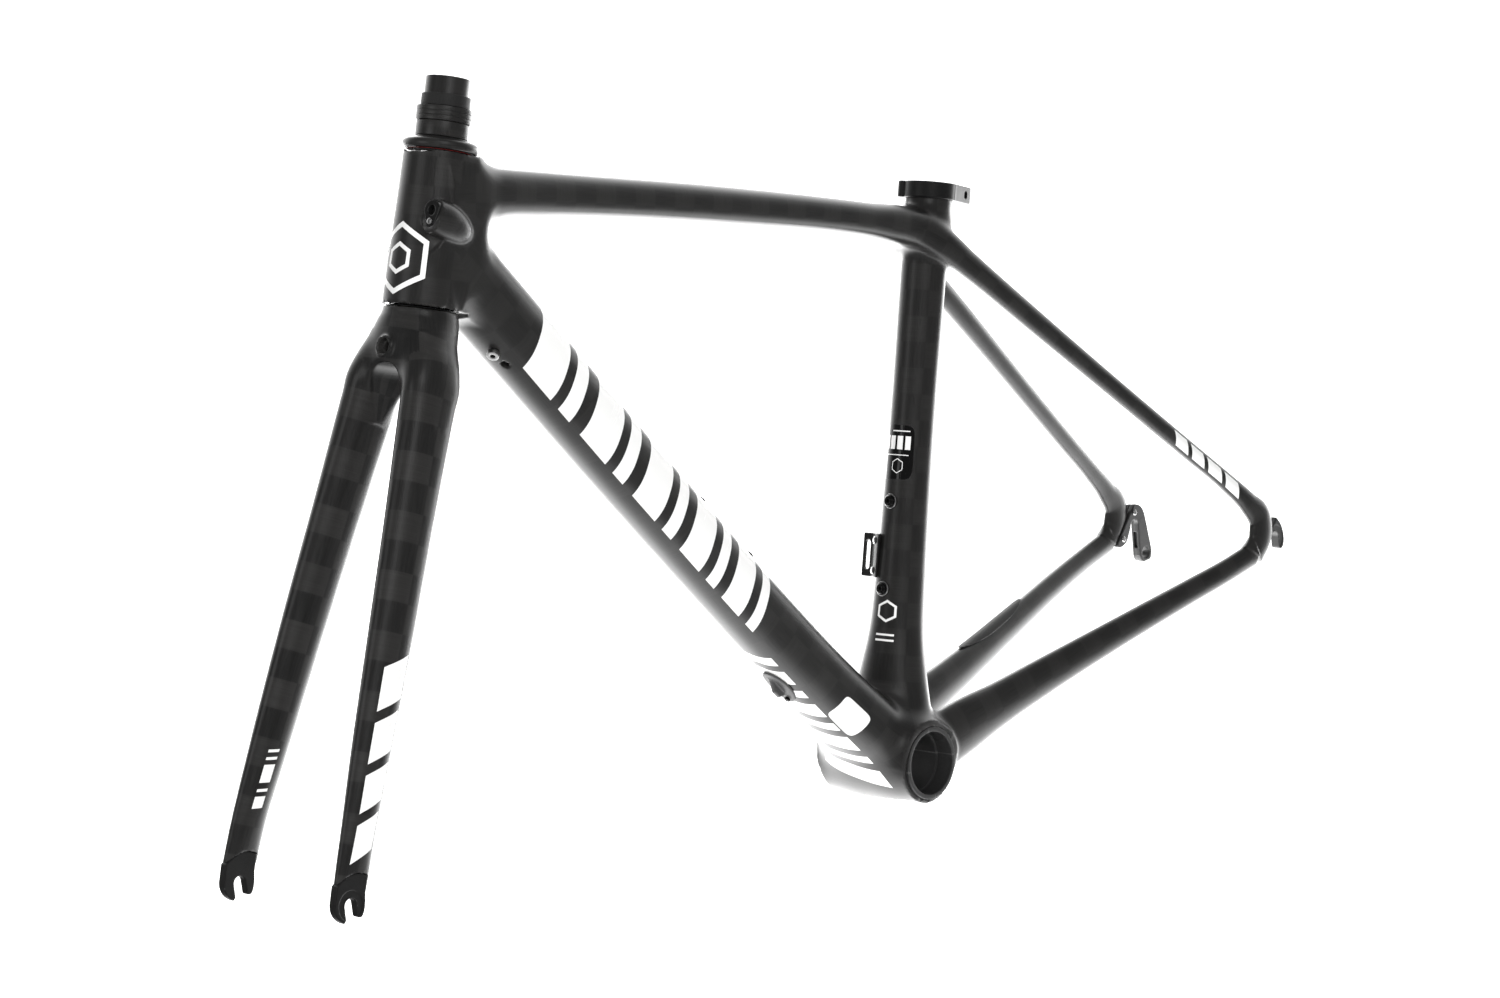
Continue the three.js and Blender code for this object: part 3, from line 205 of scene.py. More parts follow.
def cut(mesh, cutter):
    """The mesh with the cutter taken away."""
    body, tool = bpy.data.objects.new("cut", mesh), bpy.data.objects.new("tool", cutter)
    for item in (body, tool):
        bpy.context.scene.collection.objects.link(item)
    change = body.modifiers.new("cut", "BOOLEAN")
    change.operation = "DIFFERENCE"
    change.solver = "EXACT"
    change.object = tool
    bpy.context.view_layer.update()
    result = bpy.data.meshes.new_from_object(body.evaluated_get(bpy.context.evaluated_depsgraph_get()))
    for item in (body, tool):
        bpy.data.objects.remove(item)
    smooth_by_angle(result, 30)
    return result


# ---- Fields: signed distances in millimetres, negative inside ----

FAR = 60.0


class Tube:
    """A tube through stations of (centre, width across, depth, squareness)."""

    SAMPLES = 320
    COARSE = 8

    def __init__(self, stations):
        centres = np.array([station[0] for station in stations], float)
        forms = np.array([[s[1] / 2, s[2] / 2, s[3] if len(s) > 3 else 2] for s in stations], float)
        steps = np.linalg.norm(np.diff(centres, axis=0), axis=1)
        knots = np.concatenate([[0], np.cumsum(steps)])
        fine = np.linspace(0, knots[-1], self.SAMPLES)
        line = hermite(knots, centres, fine)
        lengths = np.concatenate([[0], np.cumsum(np.linalg.norm(np.diff(line, axis=0), axis=1))])
        even = np.linspace(0, lengths[-1], self.SAMPLES)
        at = np.interp(even, lengths, fine)
        line = hermite(knots, centres, at)
        form = hermite(knots, forms, at)
        along = np.gradient(line, even, axis=0)
        along /= np.linalg.norm(along, axis=1)[:, None]
        side = np.array([0, 1.0, 0]) - along * along[:, 1:2]
        side /= np.linalg.norm(side, axis=1)[:, None]
        rise = np.cross(side, along)
        self.table = np.hstack([line, along, side, rise, form])
        self.length = even[-1]
        self.reach = form[:, :2].max() + 30
        squares = max(4, round(math.pi * form[:, :2].mean() * 2 / FIBRE_SQUARE))
        self.turn = squares * FIBRE_SQUARE

    def rows(self, along):
        """The table's rows at distances along the tube."""
        place = np.clip(along / self.length, 0, 1) * (self.SAMPLES - 1)
        low = np.minimum(place.astype(int), self.SAMPLES - 2)
        part = (place - low)[:, None]
        return self.table[low] * (1 - part) + self.table[low + 1] * part

    def measure(self, points):
        """Distance, distance along and angle round the tube, for points that are near it."""
        line = self.table[:: self.COARSE, :3]
        apart = (line**2).sum(1)[None, :] - 2 * points @ line.T
        along = apart.argmin(1) * self.COARSE * self.length / (self.SAMPLES - 1)
        for _ in range(3):
            row = self.rows(along)
            along = along + ((points - row[:, :3]) * row[:, 3:6]).sum(1)
        row = self.rows(along)
        offset = points - row[:, :3]
        beyond = np.maximum(-along, along - self.length)
        across = (offset * row[:, 6:9]).sum(1)
        rise = (offset * row[:, 9:12]).sum(1)
        wide, deep, square = row[:, 12], row[:, 13], row[:, 14]
        u, v = np.abs(across) / wide + 1e-9, np.abs(rise) / deep + 1e-9
        level = (u**square + v**square) ** (1 / square)
        slope = level ** (1 - square) * np.hypot(u ** (square - 1) / wide, v ** (square - 1) / deep)
        skin = (level - 1) / np.maximum(slope, 1e-4)
        return np.maximum(skin, beyond), along, np.arctan2(across / wide, rise / deep)

    def __call__(self, points):
        line = self.table[:: self.COARSE * 2, :3]
        near = ((points > line.min(0) - self.reach) & (points < line.max(0) + self.reach)).all(1)
        result = np.full(len(points), FAR)
        if near.any():
            result[near] = np.minimum(self.measure(points[near])[0], FAR)
        return result


def hermite(knots, values, at):
    """A smooth curve through the values."""
    slopes = np.gradient(values, knots, axis=0)
    i = np.clip(np.searchsorted(knots, at, side="right") - 1, 0, len(knots) - 2)
    span = (knots[i + 1] - knots[i])[:, None]
    t = ((at - knots[i]) / span[:, 0])[:, None]
    return (
        values[i] * (2 * t**3 - 3 * t**2 + 1)
        + slopes[i] * span * (t**3 - 2 * t**2 + t)
        + values[i + 1] * (3 * t**2 - 2 * t**3)
        + slopes[i + 1] * span * (t**3 - t**2)
    )


def blend(a, b, soft):
    """The two fields joined, with a fillet."""
    lap = np.maximum(soft - np.abs(a - b), 0)
    return np.minimum(a, b) - lap**2 / (4 * soft)


def carve(a, b, soft=0.4):
    """Field a without field b."""
    return -blend(-a, b, soft)


def both(a, b, soft=0.7):
    """Where two fields overlap, with the edge rounded."""
    return -blend(-a, -b, soft)


def local(points, place):
    """Points of the bottom bracket's frame in a place's own frame."""
    back = np.array((BASE.inverted() @ place).inverted())
    return points @ back[:3, :3].T + back[:3, 3]


def rod(points, radius, low, high):
    """A round bar along Z."""
    x, y, z = points.T
    return np.maximum(np.hypot(x, y) - radius, np.maximum(low - z, z - high))


def polygon_field(x, z, outline):
    """Signed distance to a closed outline in a plane."""
    best = np.full(len(x), 1e9)
    inside = np.zeros(len(x), bool)
    for (ax, az), (bx, bz) in zip(outline, outline[1:] + outline[:1]):
        ex, ez = bx - ax, bz - az
        share = np.clip(((x - ax) * ex + (z - az) * ez) / (ex * ex + ez * ez + 1e-12), 0, 1)
        best = np.minimum(best, (x - ax - share * ex) ** 2 + (z - az - share * ez) ** 2)
        crosses = (az > z) != (bz > z)
        inside ^= crosses & (x < ax + (z - az) * ex / (ez if abs(ez) > 1e-9 else 1e-9))
    return np.where(inside, -1, 1) * np.sqrt(best)


def surface(field, low, high, voxel):
    """The points and faces of a field's zero surface. The grid is filled only in blocks near the surface."""
    block = 8
    low, high = np.array(low, float), np.array(high, float)
    counts = np.ceil((high - low) / (voxel * block)).astype(int)
    index = np.stack(np.meshgrid(*[np.arange(n) for n in counts], indexing="ij"), -1).reshape(-1, 3)
    centres = low + (index + 0.5) * block * voxel
    rough = field(centres)
    grid = np.clip(rough, -3 * voxel, 3 * voxel).reshape(counts).astype(np.float32)
    for axis in range(3):
        grid = np.repeat(grid, block, axis)
    blocks = grid.reshape(counts[0], block, counts[1], block, counts[2], block).transpose(0, 2, 4, 1, 3, 5)
    near = index[np.abs(rough) < voxel * block * 1.25]
    steps = np.stack(np.meshgrid(*[np.arange(block)] * 3, indexing="ij"), -1).reshape(-1, 3) * voxel
    batch = 1500
    for start in range(0, len(near), batch):
        part = near[start:start + batch]
        points = (low + part[:, None, :] * block * voxel + steps[None]).reshape(-1, 3)
        values = np.clip(field(points), -3 * voxel, 3 * voxel)
        blocks[part[:, 0], part[:, 1], part[:, 2]] = values.reshape(-1, block, block, block)
    volume = openvdb.FloatGrid(3 * voxel)
    volume.copyFromArray(np.ascontiguousarray(grid))
    points, triangles, quads = volume.convertToPolygons(0.0, 0.0)
    points = low + points.astype(float) * voxel
    faces = [tuple(face) for face in quads] + [tuple(face) for face in triangles]
    points, faces = main_piece(points, faces)
    return settle(field, points, voxel), faces


def main_piece(points, faces):
    """The largest connected piece of a surface, without the specks that the grid leaves at thin edges."""
    ends = np.array([pair for face in faces for pair in zip(face, face[1:])])
    label = np.arange(len(points))
    while True:
        lower = label.copy()
        np.minimum.at(lower, ends.ravel(), np.repeat(label[ends].min(1), 2))
        lower = lower[lower]
        if (lower == label).all():
            break
        label = lower
    kept = label == np.bincount(label).argmax()
    number = np.cumsum(kept) - 1
    return points[kept], [tuple(number[list(face)]) for face in faces if kept[face[0]]]


def settle(field, points, voxel):
    """The points moved on to the field's exact surface."""
    small = 0.12
    for _ in range(2):
        level = field(points)
        slope = np.stack([
            (field(points + small * axis) - field(points - small * axis)) / (2 * small) for axis in np.eye(3)
        ], 1)
        size = np.maximum((slope**2).sum(1), 0.25)
        move = slope * (level / size)[:, None]
        length = np.linalg.norm(move, axis=1)[:, None]
        points = points - move * np.minimum(1, 0.5 * voxel / np.maximum(length, 1e-9))
    return points


def write_lay(mesh, along, around, kind):
    """Per face corner: millimetres along and round a tube, and the tube's number."""
    lay = mesh.attributes.new("lay", "FLOAT_VECTOR", "CORNER")
    lay.data.foreach_set("vector", np.stack([along, around, kind], 1).astype(np.float32).ravel())


def lay_on_tubes(mesh, points, faces, tubes):
    """The lay of a moulded shell, each face of which belongs to its nearest tube."""
    count = len(points)
    near = np.full((len(tubes), count), FAR)
    along = np.zeros((len(tubes), count))
    around = np.zeros((len(tubes), count))
    for i, tube in enumerate(tubes):
        close = tube(points) < FAR
        if close.any():
            near[i, close], along[i, close], angle = tube.measure(points[close])
            around[i, close] = angle / (2 * math.pi) * tube.turn
    owner_of_point = near.argmin(0)
    loops = np.array([corner for face in faces for corner in face])
    face_of_loop = np.repeat(np.arange(len(faces)), [len(face) for face in faces])
    first = np.array([face[0] for face in faces])
    owner = owner_of_point[first][face_of_loop]
    turn = np.array([tube.turn for tube in tubes])[owner]
    anchor = around[owner, first[face_of_loop]]
    values = around[owner, loops]
    values = values - turn * np.round((values - anchor) / turn)
    write_lay(mesh, along[owner, loops], values, owner.astype(float))


# ---- The frame's moulded shell ----


def on_seat(height):
    return tuple(turn_y(SEAT_TILT) @ Vector((0, 0, height)))


HEAD_TUBE, DOWN_TUBE, TOP_TUBE, SEAT_TUBE = 0, 1, 2, 3
LEFT_SEAT_STAY, RIGHT_SEAT_STAY, LEFT_CHAIN_STAY, RIGHT_CHAIN_STAY = 4, 5, 6, 7

head_axis = [tuple(HEAD_FOOT + turn_y(HEAD_TILT) @ Vector((0, 0, z))) for z in (0, 14, 50, 80, 100)]
head_tube = Tube([
    (head_axis[0], 50.6, 50.6),
    (head_axis[1], 50.2, 50.2),
    (head_axis[2], 48.2, 48.2),
    (head_axis[3], 46.6, 46.6),
    (head_axis[4], 46, 46),
])
down_tube = Tube([
    ((-386, 0, 460), 50, 50, 2.2),
    ((-340, 0, 404), 48, 49.5, 2.3),
    ((-225, 0, 263), 45, 49, 2.4),
    ((-98, 0, 112), 46, 49, 2.4),
    ((-56, 0, 63), 55, 49, 2.4),
    ((-22, 0, 24), 71, 50, 2.6),
    ((2, 0, -3), 78, 50, 2.8),
])
top_tube = Tube([
    ((-378, 0, 484), 48, 42, 2.3),
    ((-330, 0, 475.5), 45, 34, 2.5),
    ((-285, 0, 466.5), 40, 30.5, 2.6),
    ((-109, 0, 427.7), 35, 26, 2.6),
    ((31, 0, 393), 34, 25, 2.6),
    ((88, 0, 376.5), 33, 27, 2.6),
    ((108, 0, 370), 26, 20, 2.3),
])
seat_tube = Tube([
    (on_seat(0), 76, 54),
    (on_seat(30), 68, 52),
    (on_seat(60), 53, 47),
    (on_seat(90), 42, 39.5),
    (on_seat(130), 37.5, 36.5),
    (on_seat(190), 34.2, 34.2),
    (on_seat(260), 32.6, 32.6),
    (on_seat(330), 33.2, 33.2),
    (on_seat(SEAT_TUBE_LENGTH), 33.8, 33.8),
])


def seat_stay(side):
    return Tube([
        ((66, 7 * side, 384), 8, 12),
        ((82, 13 * side, 376), 12, 19),
        ((99, 19 * side, 363), 15, 22),
        ((118, 23.5 * side, 345), 14, 19.5),
        ((183, 35 * side, 285), 12.5, 16.5),
        ((318, 60 * side, 161), 11, 14.2),
        ((352, 66 * side, 130), 11, 14.6),
        ((374, 69.5 * side, 108), 11.5, 18),
        ((386, 71 * side, 92), 11.5, 25),
        ((384, 71.5 * side, 78), 11.5, 27),
        ((373, 71.5 * side, 66), 11.5, 21),
    ])


def chain_stay(side):
    return Tube([
        ((12, 27 * side, 3), 25, 46),
        ((49, 30.5 * side, 11), 23, 43),
        ((91, 33.5 * side, 18), 20.5, 34.5),
        ((133, 38 * side, 25.5), 18, 30),
        ((216, 50 * side, 40.5), 15, 23.5),
        ((299, 63 * side, 55), 13.5, 19.5),
        ((340, 68.5 * side, 61.5), 12.5, 18.5),
        ((372, 71 * side, 67), 11.5, 19),
    ])


frame_tubes = [
    head_tube, down_tube, top_tube, seat_tube,
    seat_stay(-1), seat_stay(1), chain_stay(-1), chain_stay(1),
]

SLOT_RADIUS = 5.1


def left_dropout_outline():
    return curve_points(
        (4.6, 15.8),
        (-20.5, -11.2),
        (-17.2, -12.4),
        (-5.5, -1.5),
        *half_circle(SLOT_RADIUS),
        (SLOT_RADIUS, -8.4),
        ((5.6, -10.2), (8, -10.2)),
        ((11.6, -9.6), (12.4, -3)),
        ((13, 8), (4.6, 15.8)),
    )[:-1]


def right_tab_outline():
    return curve_points(
        (1.5, 17),
        (-22.5, -8),
        ((-26, -12.5), (-20, -13)),
        ((-12.5, -12), (-10, -6)),
        (-7, 4),
        ((-4, 8), (0, 8)),
        ((6, 9), (7.5, 14)),
        ((6, 17.5), (1.5, 17)),
    )[:-1]


def hanger_outline():
    return curve_points(
        (1.5, 17.2),
        (-23, -8.3),
        ((-26.5, -12.6), (-20.5, -13.2)),
        ((-12.5, -12.6), (-10, -8)),
        *half_circle(SLOT_RADIUS),
        (4.2, -26),
        ((4.6, -31.5), (9, -32)),
        (17, -31.6),
        ((20.5, -28), (19, -20)),
        (15.3, 2),
        ((14, 14.5), (6, 16.5)),
        ((3.5, 17.8), (1.5, 17.2)),
    )[:-1]


PORT_SPOT = np.array([-20.5, -22.6, 57])
PORT_POD = Tube([
    (tuple(PORT_SPOT), 18, 22.5),
    ((-8, -23.4, 54.5), 18, 23),
    ((4, -22.4, 51), 15, 19),
    ((16, -18.5, 47.5), 7, 9),
])


def head_bore(points):
    """The bearing seats and the bore between them, in the head frame."""
    seats = np.minimum(rod(points, LOWER_BEARING_RADIUS, -20, 8), rod(points, UPPER_BEARING_RADIUS, 91, 120))
    return np.minimum(seats, rod(points, 19.5, 2, 98))


DOWN_FOOT, DOWN_HEAD = np.array([-98.0, 0, 112]), np.array([-225.0, 0, 263])
DOWN_ALONG = (DOWN_HEAD - DOWN_FOOT) / np.linalg.norm(DOWN_HEAD - DOWN_FOOT)
DOWN_OUT = np.array([DOWN_ALONG[2], 0, -DOWN_ALONG[0]])
SIDE_HOLE_OUT = DOWN_OUT * -0.938 + np.array([0, -0.347, 0])
SIDE_HOLES = [360, 347]
SIDE_HOLE_RADIUS = 2.8


def basis(origin, out, across):
    """A place whose Z axis points out."""
    z = Vector(out).normalized()
    y = (Vector(across) - z * Vector(across).dot(z)).normalized()
    x = y.cross(z)
    return BASE @ Matrix.Translation(Vector(origin)) @ Matrix((x, y, z)).transposed().to_4x4()


side_hole_places = [basis(DOWN_FOOT + DOWN_ALONG * d, SIDE_HOLE_OUT, DOWN_ALONG) for d in SIDE_HOLES]


def frame_field(points):
    head, down, top, seat, *stays = [tube(points) for tube in frame_tubes]
    shell = blend(down, top, 30)
    in_head = local(points, HEAD)
    fillet = 6 + 16 * np.clip(in_head[:, 0] / 15, 0, 1)  # narrow in front, wide behind the head tube
    shell = blend(shell, head, fillet)
    flat_side = 25.7 - 0.024 * in_head[:, 2] + 0.3 * np.maximum(in_head[:, 0] - 60, 0)
    shell = both(shell, np.abs(points[:, 1]) - flat_side, 2)  # no tube stands out beside the head tube
    shell = blend(shell, seat, 13)
    across = points[:, [0, 2, 1]]
    barrel = rod(across, 28.0, -39, 39) - 1.5
    shell = blend(shell, barrel, 16)
    left_seat, right_seat, left_chain, right_chain = stays
    left, right = blend(left_seat, left_chain, 7), blend(right_seat, right_chain, 7)
    shell = blend(shell, np.minimum(left, right), 7)
    shell = blend(shell, PORT_POD(in_head), 2)
    behind = np.maximum(in_head[:, 0] - 24.8, 0)  # the head tube's end planes reach only this far back
    past_ends = np.maximum(in_head[:, 2] - HEAD_TUBE_LENGTH, -in_head[:, 2]) - 2 * behind
    shell = both(shell, past_ends, 1.2)
    shell = carve(shell, head_bore(in_head), 0.9)
    from_port = (in_head - PORT_SPOT * (0, 1, 1))[:, [1, 2, 0]]
    shell = carve(shell, rod(from_port * (1, 0.66, 1), 4.8, -30, -17))
    in_seat = local(points, SEAT)
    shell = carve(shell, rod(in_seat, SEATPOST_BORE_RADIUS, 135, 460))
    shell = np.maximum(shell, np.where(in_seat[:, 2] > 380, in_seat[:, 2] - SEAT_TUBE_LENGTH, -FAR))
    slit = np.maximum(np.abs(in_seat[:, 2] - 419) - 13, 9 - in_seat[:, 0])
    shell = carve(shell, np.maximum(np.abs(in_seat[:, 1]) - 0.8, slit))
    shell = carve(shell, rod(across, BB_SLEEVE_RADIUS + 0.1, -60, 60))
    for place in side_hole_places:
        shell = carve(shell, rod(local(points, place), SIDE_HOLE_RADIUS, 10, 60), 0.3)
    return carve_dropouts(points, shell)


def carve_dropouts(points, shell):
    """The stays' ends stop at the bond lines of the alloy dropouts."""
    shell = shell.copy()
    for sign, outline in ((-1, left_dropout_outline()), (1, hanger_outline())):
        near = (points[:, 0] > REAR_AXLE.x - 45) & (points[:, 1] * sign > 50)
        if near.any():
            spots = points[near]
            flat = polygon_field(spots[:, 0] - REAR_AXLE.x, spots[:, 2] - REAR_AXLE.z, outline)
            shell[near] = carve(shell[near], flat - 0.12, 0.5)
    return shell


def frame_shell(look):
    low, high = (-430, -84, -36), (408, 84, 516)
    points, faces = surface(frame_field, low, high, VOXEL)
    mesh = mesh_of("frame_shell", points, faces, BASE)
    lay_on_tubes(mesh, points, faces, frame_tubes)
    smooth_by_angle(mesh, 40)
    nodes = ["head_tube", "top_tube", "down_tube", "seat_tube"]
    nodes += [f"{stay}_stay_{side}" for stay in ("seat", "chain") for side in ("left", "right")]
    add_object("frame_shell", mesh, "frame", nodes, look)


# ---- The fork's moulded shell ----

fork_crown = Tube([
    ((0, 0, -1.6), 48, 48),
    ((0, 0, -8), 51, 49, 2.1),
    ((-3, 0, -24), 62, 47, 2.3),
    ((-5.5, 0, -36), 70, 43, 2.5),
    ((-7.5, 0, -48), 68, 36, 2.5),
    ((-9, 0, -60), 60, 20, 2.4),
    ((-11, 0, -76), 50, 6, 2.2),
])


def fork_blade(side):
    return Tube([
        ((-4, 17 * side, -22), 12, 26, 2.2),
        ((-5.6, 22.5 * side, -36), 22, 37, 2.2),
        ((-7.6, 26.2 * side, -48), 26, 41.6, 2.3),
        ((-9.8, 27.6 * side, -62), 26, 40, 2.3),
        ((-19.4, 34 * side, -130), 24.4, 36.6),
        ((-30.7, 41.4 * side, -210), 21.6, 33),
        ((-41.6, 47.8 * side, -290), 17.8, 28.8),
        ((-47.6, 51.6 * side, -338), 13.5, 26.2),
        ((-50, 53 * side, -366), 7.5, 25.4, 2.6),
    ])


fork_tubes = [fork_crown, fork_blade(-1), fork_blade(1)]
FORK_SLOT_RADIUS = 4.6
BRAKE_HOLE_HEIGHT = -27.8


def fork_tip_outline():
    return curve_points(
        (-12.6, 4),
        ((-14.4, -4), (-6.6, -9.8)),
        (-FORK_SLOT_RADIUS, -8),
        *half_circle(FORK_SLOT_RADIUS),
        (FORK_SLOT_RADIUS, -8),
        ((5.5, -10), (8, -9.6)),
        ((11.8, -7), (13.2, 4)),
        (17, 14.5),
        ((6, 24), (-8.8, 15)),
    )


def fork_field(points):
    crown, left, right = [tube(points) for tube in fork_tubes]
    drop = -points[:, 2]
    arch = np.hypot(np.maximum(np.abs(points[:, 1]) - 1.5, 0), np.maximum(50 - drop, 0)) - 12
    half_width = 13.5 + np.clip(0.1 * (drop - 50), 0, 1)
    arch = np.where(drop > 50, np.abs(points[:, 1]) - half_width, arch)
    shell = blend(crown, np.minimum(left, right), 8)
    shell = carve(shell, arch, 3)
    forward = (points - np.array([0, 0, BRAKE_HOLE_HEIGHT]))[:, [1, 2, 0]]
    boss = rod(forward, 6.6, -28.4, -10)
    shell = blend(shell, boss, 3)
    shell = carve(shell, rod(forward, 4.9, -60, -24.4), 0.8)
    shell = carve(shell, rod(forward, 3.1, -60, 60), 0.5)
    shell = carve(shell, rod(points, 16.8, -34.4, 20))
    shell = np.maximum(shell, points[:, 2] + 1.6)
    turn = np.array(turn_y(HEAD_TILT))[:3, :3]
    about_axle = (points - np.array([-FORK_RAKE, 0, -FORK_LENGTH])) @ turn.T
    low = about_axle[:, 2] < 45
    if low.any():
        shell = shell.copy()
        flat = polygon_field(about_axle[low, 0], about_axle[low, 2], fork_tip_outline())
        shell[low] = carve(shell[low], flat - 0.12, 0.5)
    return shell


def fork_shell(look):
    low, high = (-72, -64, -372), (32, 64, 4)
    points, faces = surface(fork_field, low, high, FORK_VOXEL)
    mesh = mesh_of("fork_shell", points, faces, HEAD)
    lay_on_tubes(mesh, points, faces, fork_tubes)
    smooth_by_angle(mesh, 40)
    nodes = ["fork_crown", "fork_blade_left", "fork_blade_right"]
    add_object("fork_shell", mesh, "fork", nodes, look)


# ---- Small parts made from fields ----


def slab(values, low, high):
    return np.abs(values - (low + high) / 2) - (high - low) / 2


def cross_hole(points, x, z, radius, low, high):
    """A round hole along Y."""
    return np.maximum(np.hypot(points[:, 0] - x, points[:, 2] - z) - radius, slab(points[:, 1], low, high))


def field_piece(name, field, low, high, place, node, look, voxel=0.45, body="frame"):
    """A piece from a field, looked for between two corners of a box."""
    points, faces = surface(field, low, high, voxel)
    mesh = mesh_of(name, points, faces, place)
    smooth_by_angle(mesh, 40)
    add_object(name, mesh, body, [node], look)


DROPOUT_INNER = REAR_SPACING / 2
DROPOUT_OUTER = DROPOUT_INNER + REAR_DROPOUT_THICKNESS
HANGER_SCREWS = {"upper": (0.5, 11.2), "lower": (-16.8, -7)}
HANGER_HOLE = (11.8, -25)


def left_dropout_field(points):
    flat = polygon_field(points[:, 0], points[:, 2], left_dropout_outline())
    ring = np.abs(np.hypot(points[:, 0], points[:, 2]) - 8.2) - 2.3
    print_of_nut = np.maximum(ring, -DROPOUT_OUTER - 1 - points[:, 1])
    body = both(flat, slab(points[:, 1], -DROPOUT_OUTER, -DROPOUT_INNER), 1)
    return carve(body, both(print_of_nut, points[:, 1] + DROPOUT_OUTER - 0.35, 0.2), 0.3)


def right_tab_field(points):
    flat = polygon_field(points[:, 0], points[:, 2], right_tab_outline())
    body = both(flat, slab(points[:, 1], DROPOUT_INNER + HANGER_THICKNESS + 0.3, DROPOUT_OUTER), 1)
    for x, z in HANGER_SCREWS.values():
        body = carve(body, cross_hole(points, x, z, 1.75, 60, 80), 0.4)
    return body


def arm_outline():
    return curve_points(
        (SLOT_RADIUS, 3),
        (4.2, -26),
        ((4.6, -31.5), (9, -32)),
        (17, -31.6),
        ((20.5, -28), (19, -20)),
        (15.3, 2),
        ((12, 6), (8.6, 4)),
    )


def hanger_field(points):
    x, y, z = points.T
    plate_part = slab(y, DROPOUT_INNER, DROPOUT_INNER + HANGER_THICKNESS)
    plate_part = both(polygon_field(x, z, hanger_outline()), plate_part)
    arm = both(polygon_field(x, z, arm_outline()), slab(y, DROPOUT_INNER + 0.5, DROPOUT_OUTER), 1.2)
    body = blend(plate_part, arm, 1)
    pocket = both(both(slab(x, 0.5, 7.5), slab(z, -19.5, -6.5)), slab(y, 67.3, 70.7))
    body = carve(body, pocket, 0.6)
    body = carve(body, cross_hole(points, *HANGER_HOLE, 4.6, 55, 85), 0.8)
    for spot in HANGER_SCREWS.values():
        body = carve(body, cross_hole(points, *spot, 1.75, 60, 80), 0.4)
    return body


def fork_tip_field(side):
    outline = fork_tip_outline()
    inner, outer = FRONT_SPACING / 2, FRONT_SPACING / 2 + FORK_TIP_THICKNESS

    def field(points):
        flat = polygon_field(points[:, 0], points[:, 2], outline)
        across = points[:, 1] * side
        body = both(flat, slab(across, inner, outer), 0.9)
        around = np.abs(np.hypot(points[:, 0], points[:, 2]) - 7.6) - 2.1
        return carve(body, both(around, outer - 0.3 - across, 0.2), 0.3)

    return field


CLAMP_LOW, CLAMP_HIGH = SEAT_TUBE_LENGTH - 10.5, SEAT_TUBE_LENGTH + 1.5
CLAMP_MIDDLE = (CLAMP_LOW + CLAMP_HIGH) / 2
CLAMP_BOLT_X = 29


def clamp_field(points):
    x, y, z = points.T
    leave = 1.15
    corner = (19.2 * math.cos(leave), 19.2 * math.sin(leave))
    ears = polygon_field(x, y, [(38, -7.5), (38, 7.5), corner, (corner[0], -corner[1])])
    flat = np.minimum(blend(np.hypot(x, y) - 19.2, ears, 1), np.hypot(x + 12.6, y - 13.6) - 4.6)
    body = both(flat, slab(z, CLAMP_LOW, CLAMP_HIGH), 1)
    body = carve(body, np.hypot(x, y) - 17.3, 0.5)
    body = carve(body, np.maximum(np.abs(y) - 0.9, 12 - x), 0.4)
    bolt = np.hypot(x - CLAMP_BOLT_X, z - CLAMP_MIDDLE)
    body = carve(body, bolt - 2.8, 0.4)
    return carve(body, both(bolt - 4.9, 7.2 - y, 0.3), 0.5)


BRACKET_LOW, BRACKET_HIGH = 130.5, 162.5
RIVET_HEIGHTS = {"lower": 5, "upper": 27}


def bracket_field(points):
    x, y, z = points.T
    angle = np.degrees(np.arctan2(y, x))
    radius = np.hypot(x, y)
    turn = slab(angle, 100, 160) * math.pi / 180 * radius
    wrap = both(slab(radius, 19, 20.8), turn, 0.8)
    tab = both(slab(x, -10.6, -7.4), slab(y, 17.5, 29), 0.8)
    body = both(blend(wrap, tab, 2.5), slab(z, BRACKET_LOW, BRACKET_HIGH), 0.9)
    middle = (BRACKET_LOW + BRACKET_HIGH) / 2
    slot = np.hypot(np.maximum(np.abs(z - middle) - 8.3, 0), y - 24.6) - 2.7
    return carve(body, np.maximum(slot, x + 4), 0.5)


def port_insert_field(points):
    x, y, z = points.T
    drop = np.clip((PORT_SPOT[2] + 3 - z) / 9, 0, 1)
    drip = np.hypot(y - PORT_SPOT[1], z - PORT_SPOT[2] - 3 + 9 * drop) - 7 + 3 * drop
    body = both(drip, slab(x, -21.8, -17.6), 0.9)
    hole = np.hypot(y - PORT_SPOT[1], z - 60.2)
    body = carve(body, hole - 3.1, 0.8)
    return carve(body, np.hypot(y - PORT_SPOT[1], z - 53) - 1.4, 0.3)


PORT_PLACE = basis(DOWN_FOOT - DOWN_ALONG * 18, -DOWN_OUT, (0, 1, 0))


def port_cover_field(points):
    inside = np.array(BASE.inverted() @ PORT_PLACE)
    skin = down_tube(points @ inside[:3, :3].T + inside[:3, 3])
    x, y, z = points.T
    oval = (np.hypot(x / 18, y / 9.5) - 1) * 11
    lid = both(both(skin - 1.9, oval, 0.9), 10 - z)
    fin_outline = [(-9, 22), (-9, 25.6), (-4, 31.6), (2, 31.6), (13, 25.6), (13, 22)]
    fin = both(polygon_field(x, z, fin_outline), np.abs(y) - 2, 1.4)
    body = carve(blend(lid, fin, 1.2), skin - 0.3, 0.3)
    return carve(body, np.hypot(x + 13, y) - 1.6, 0.4)


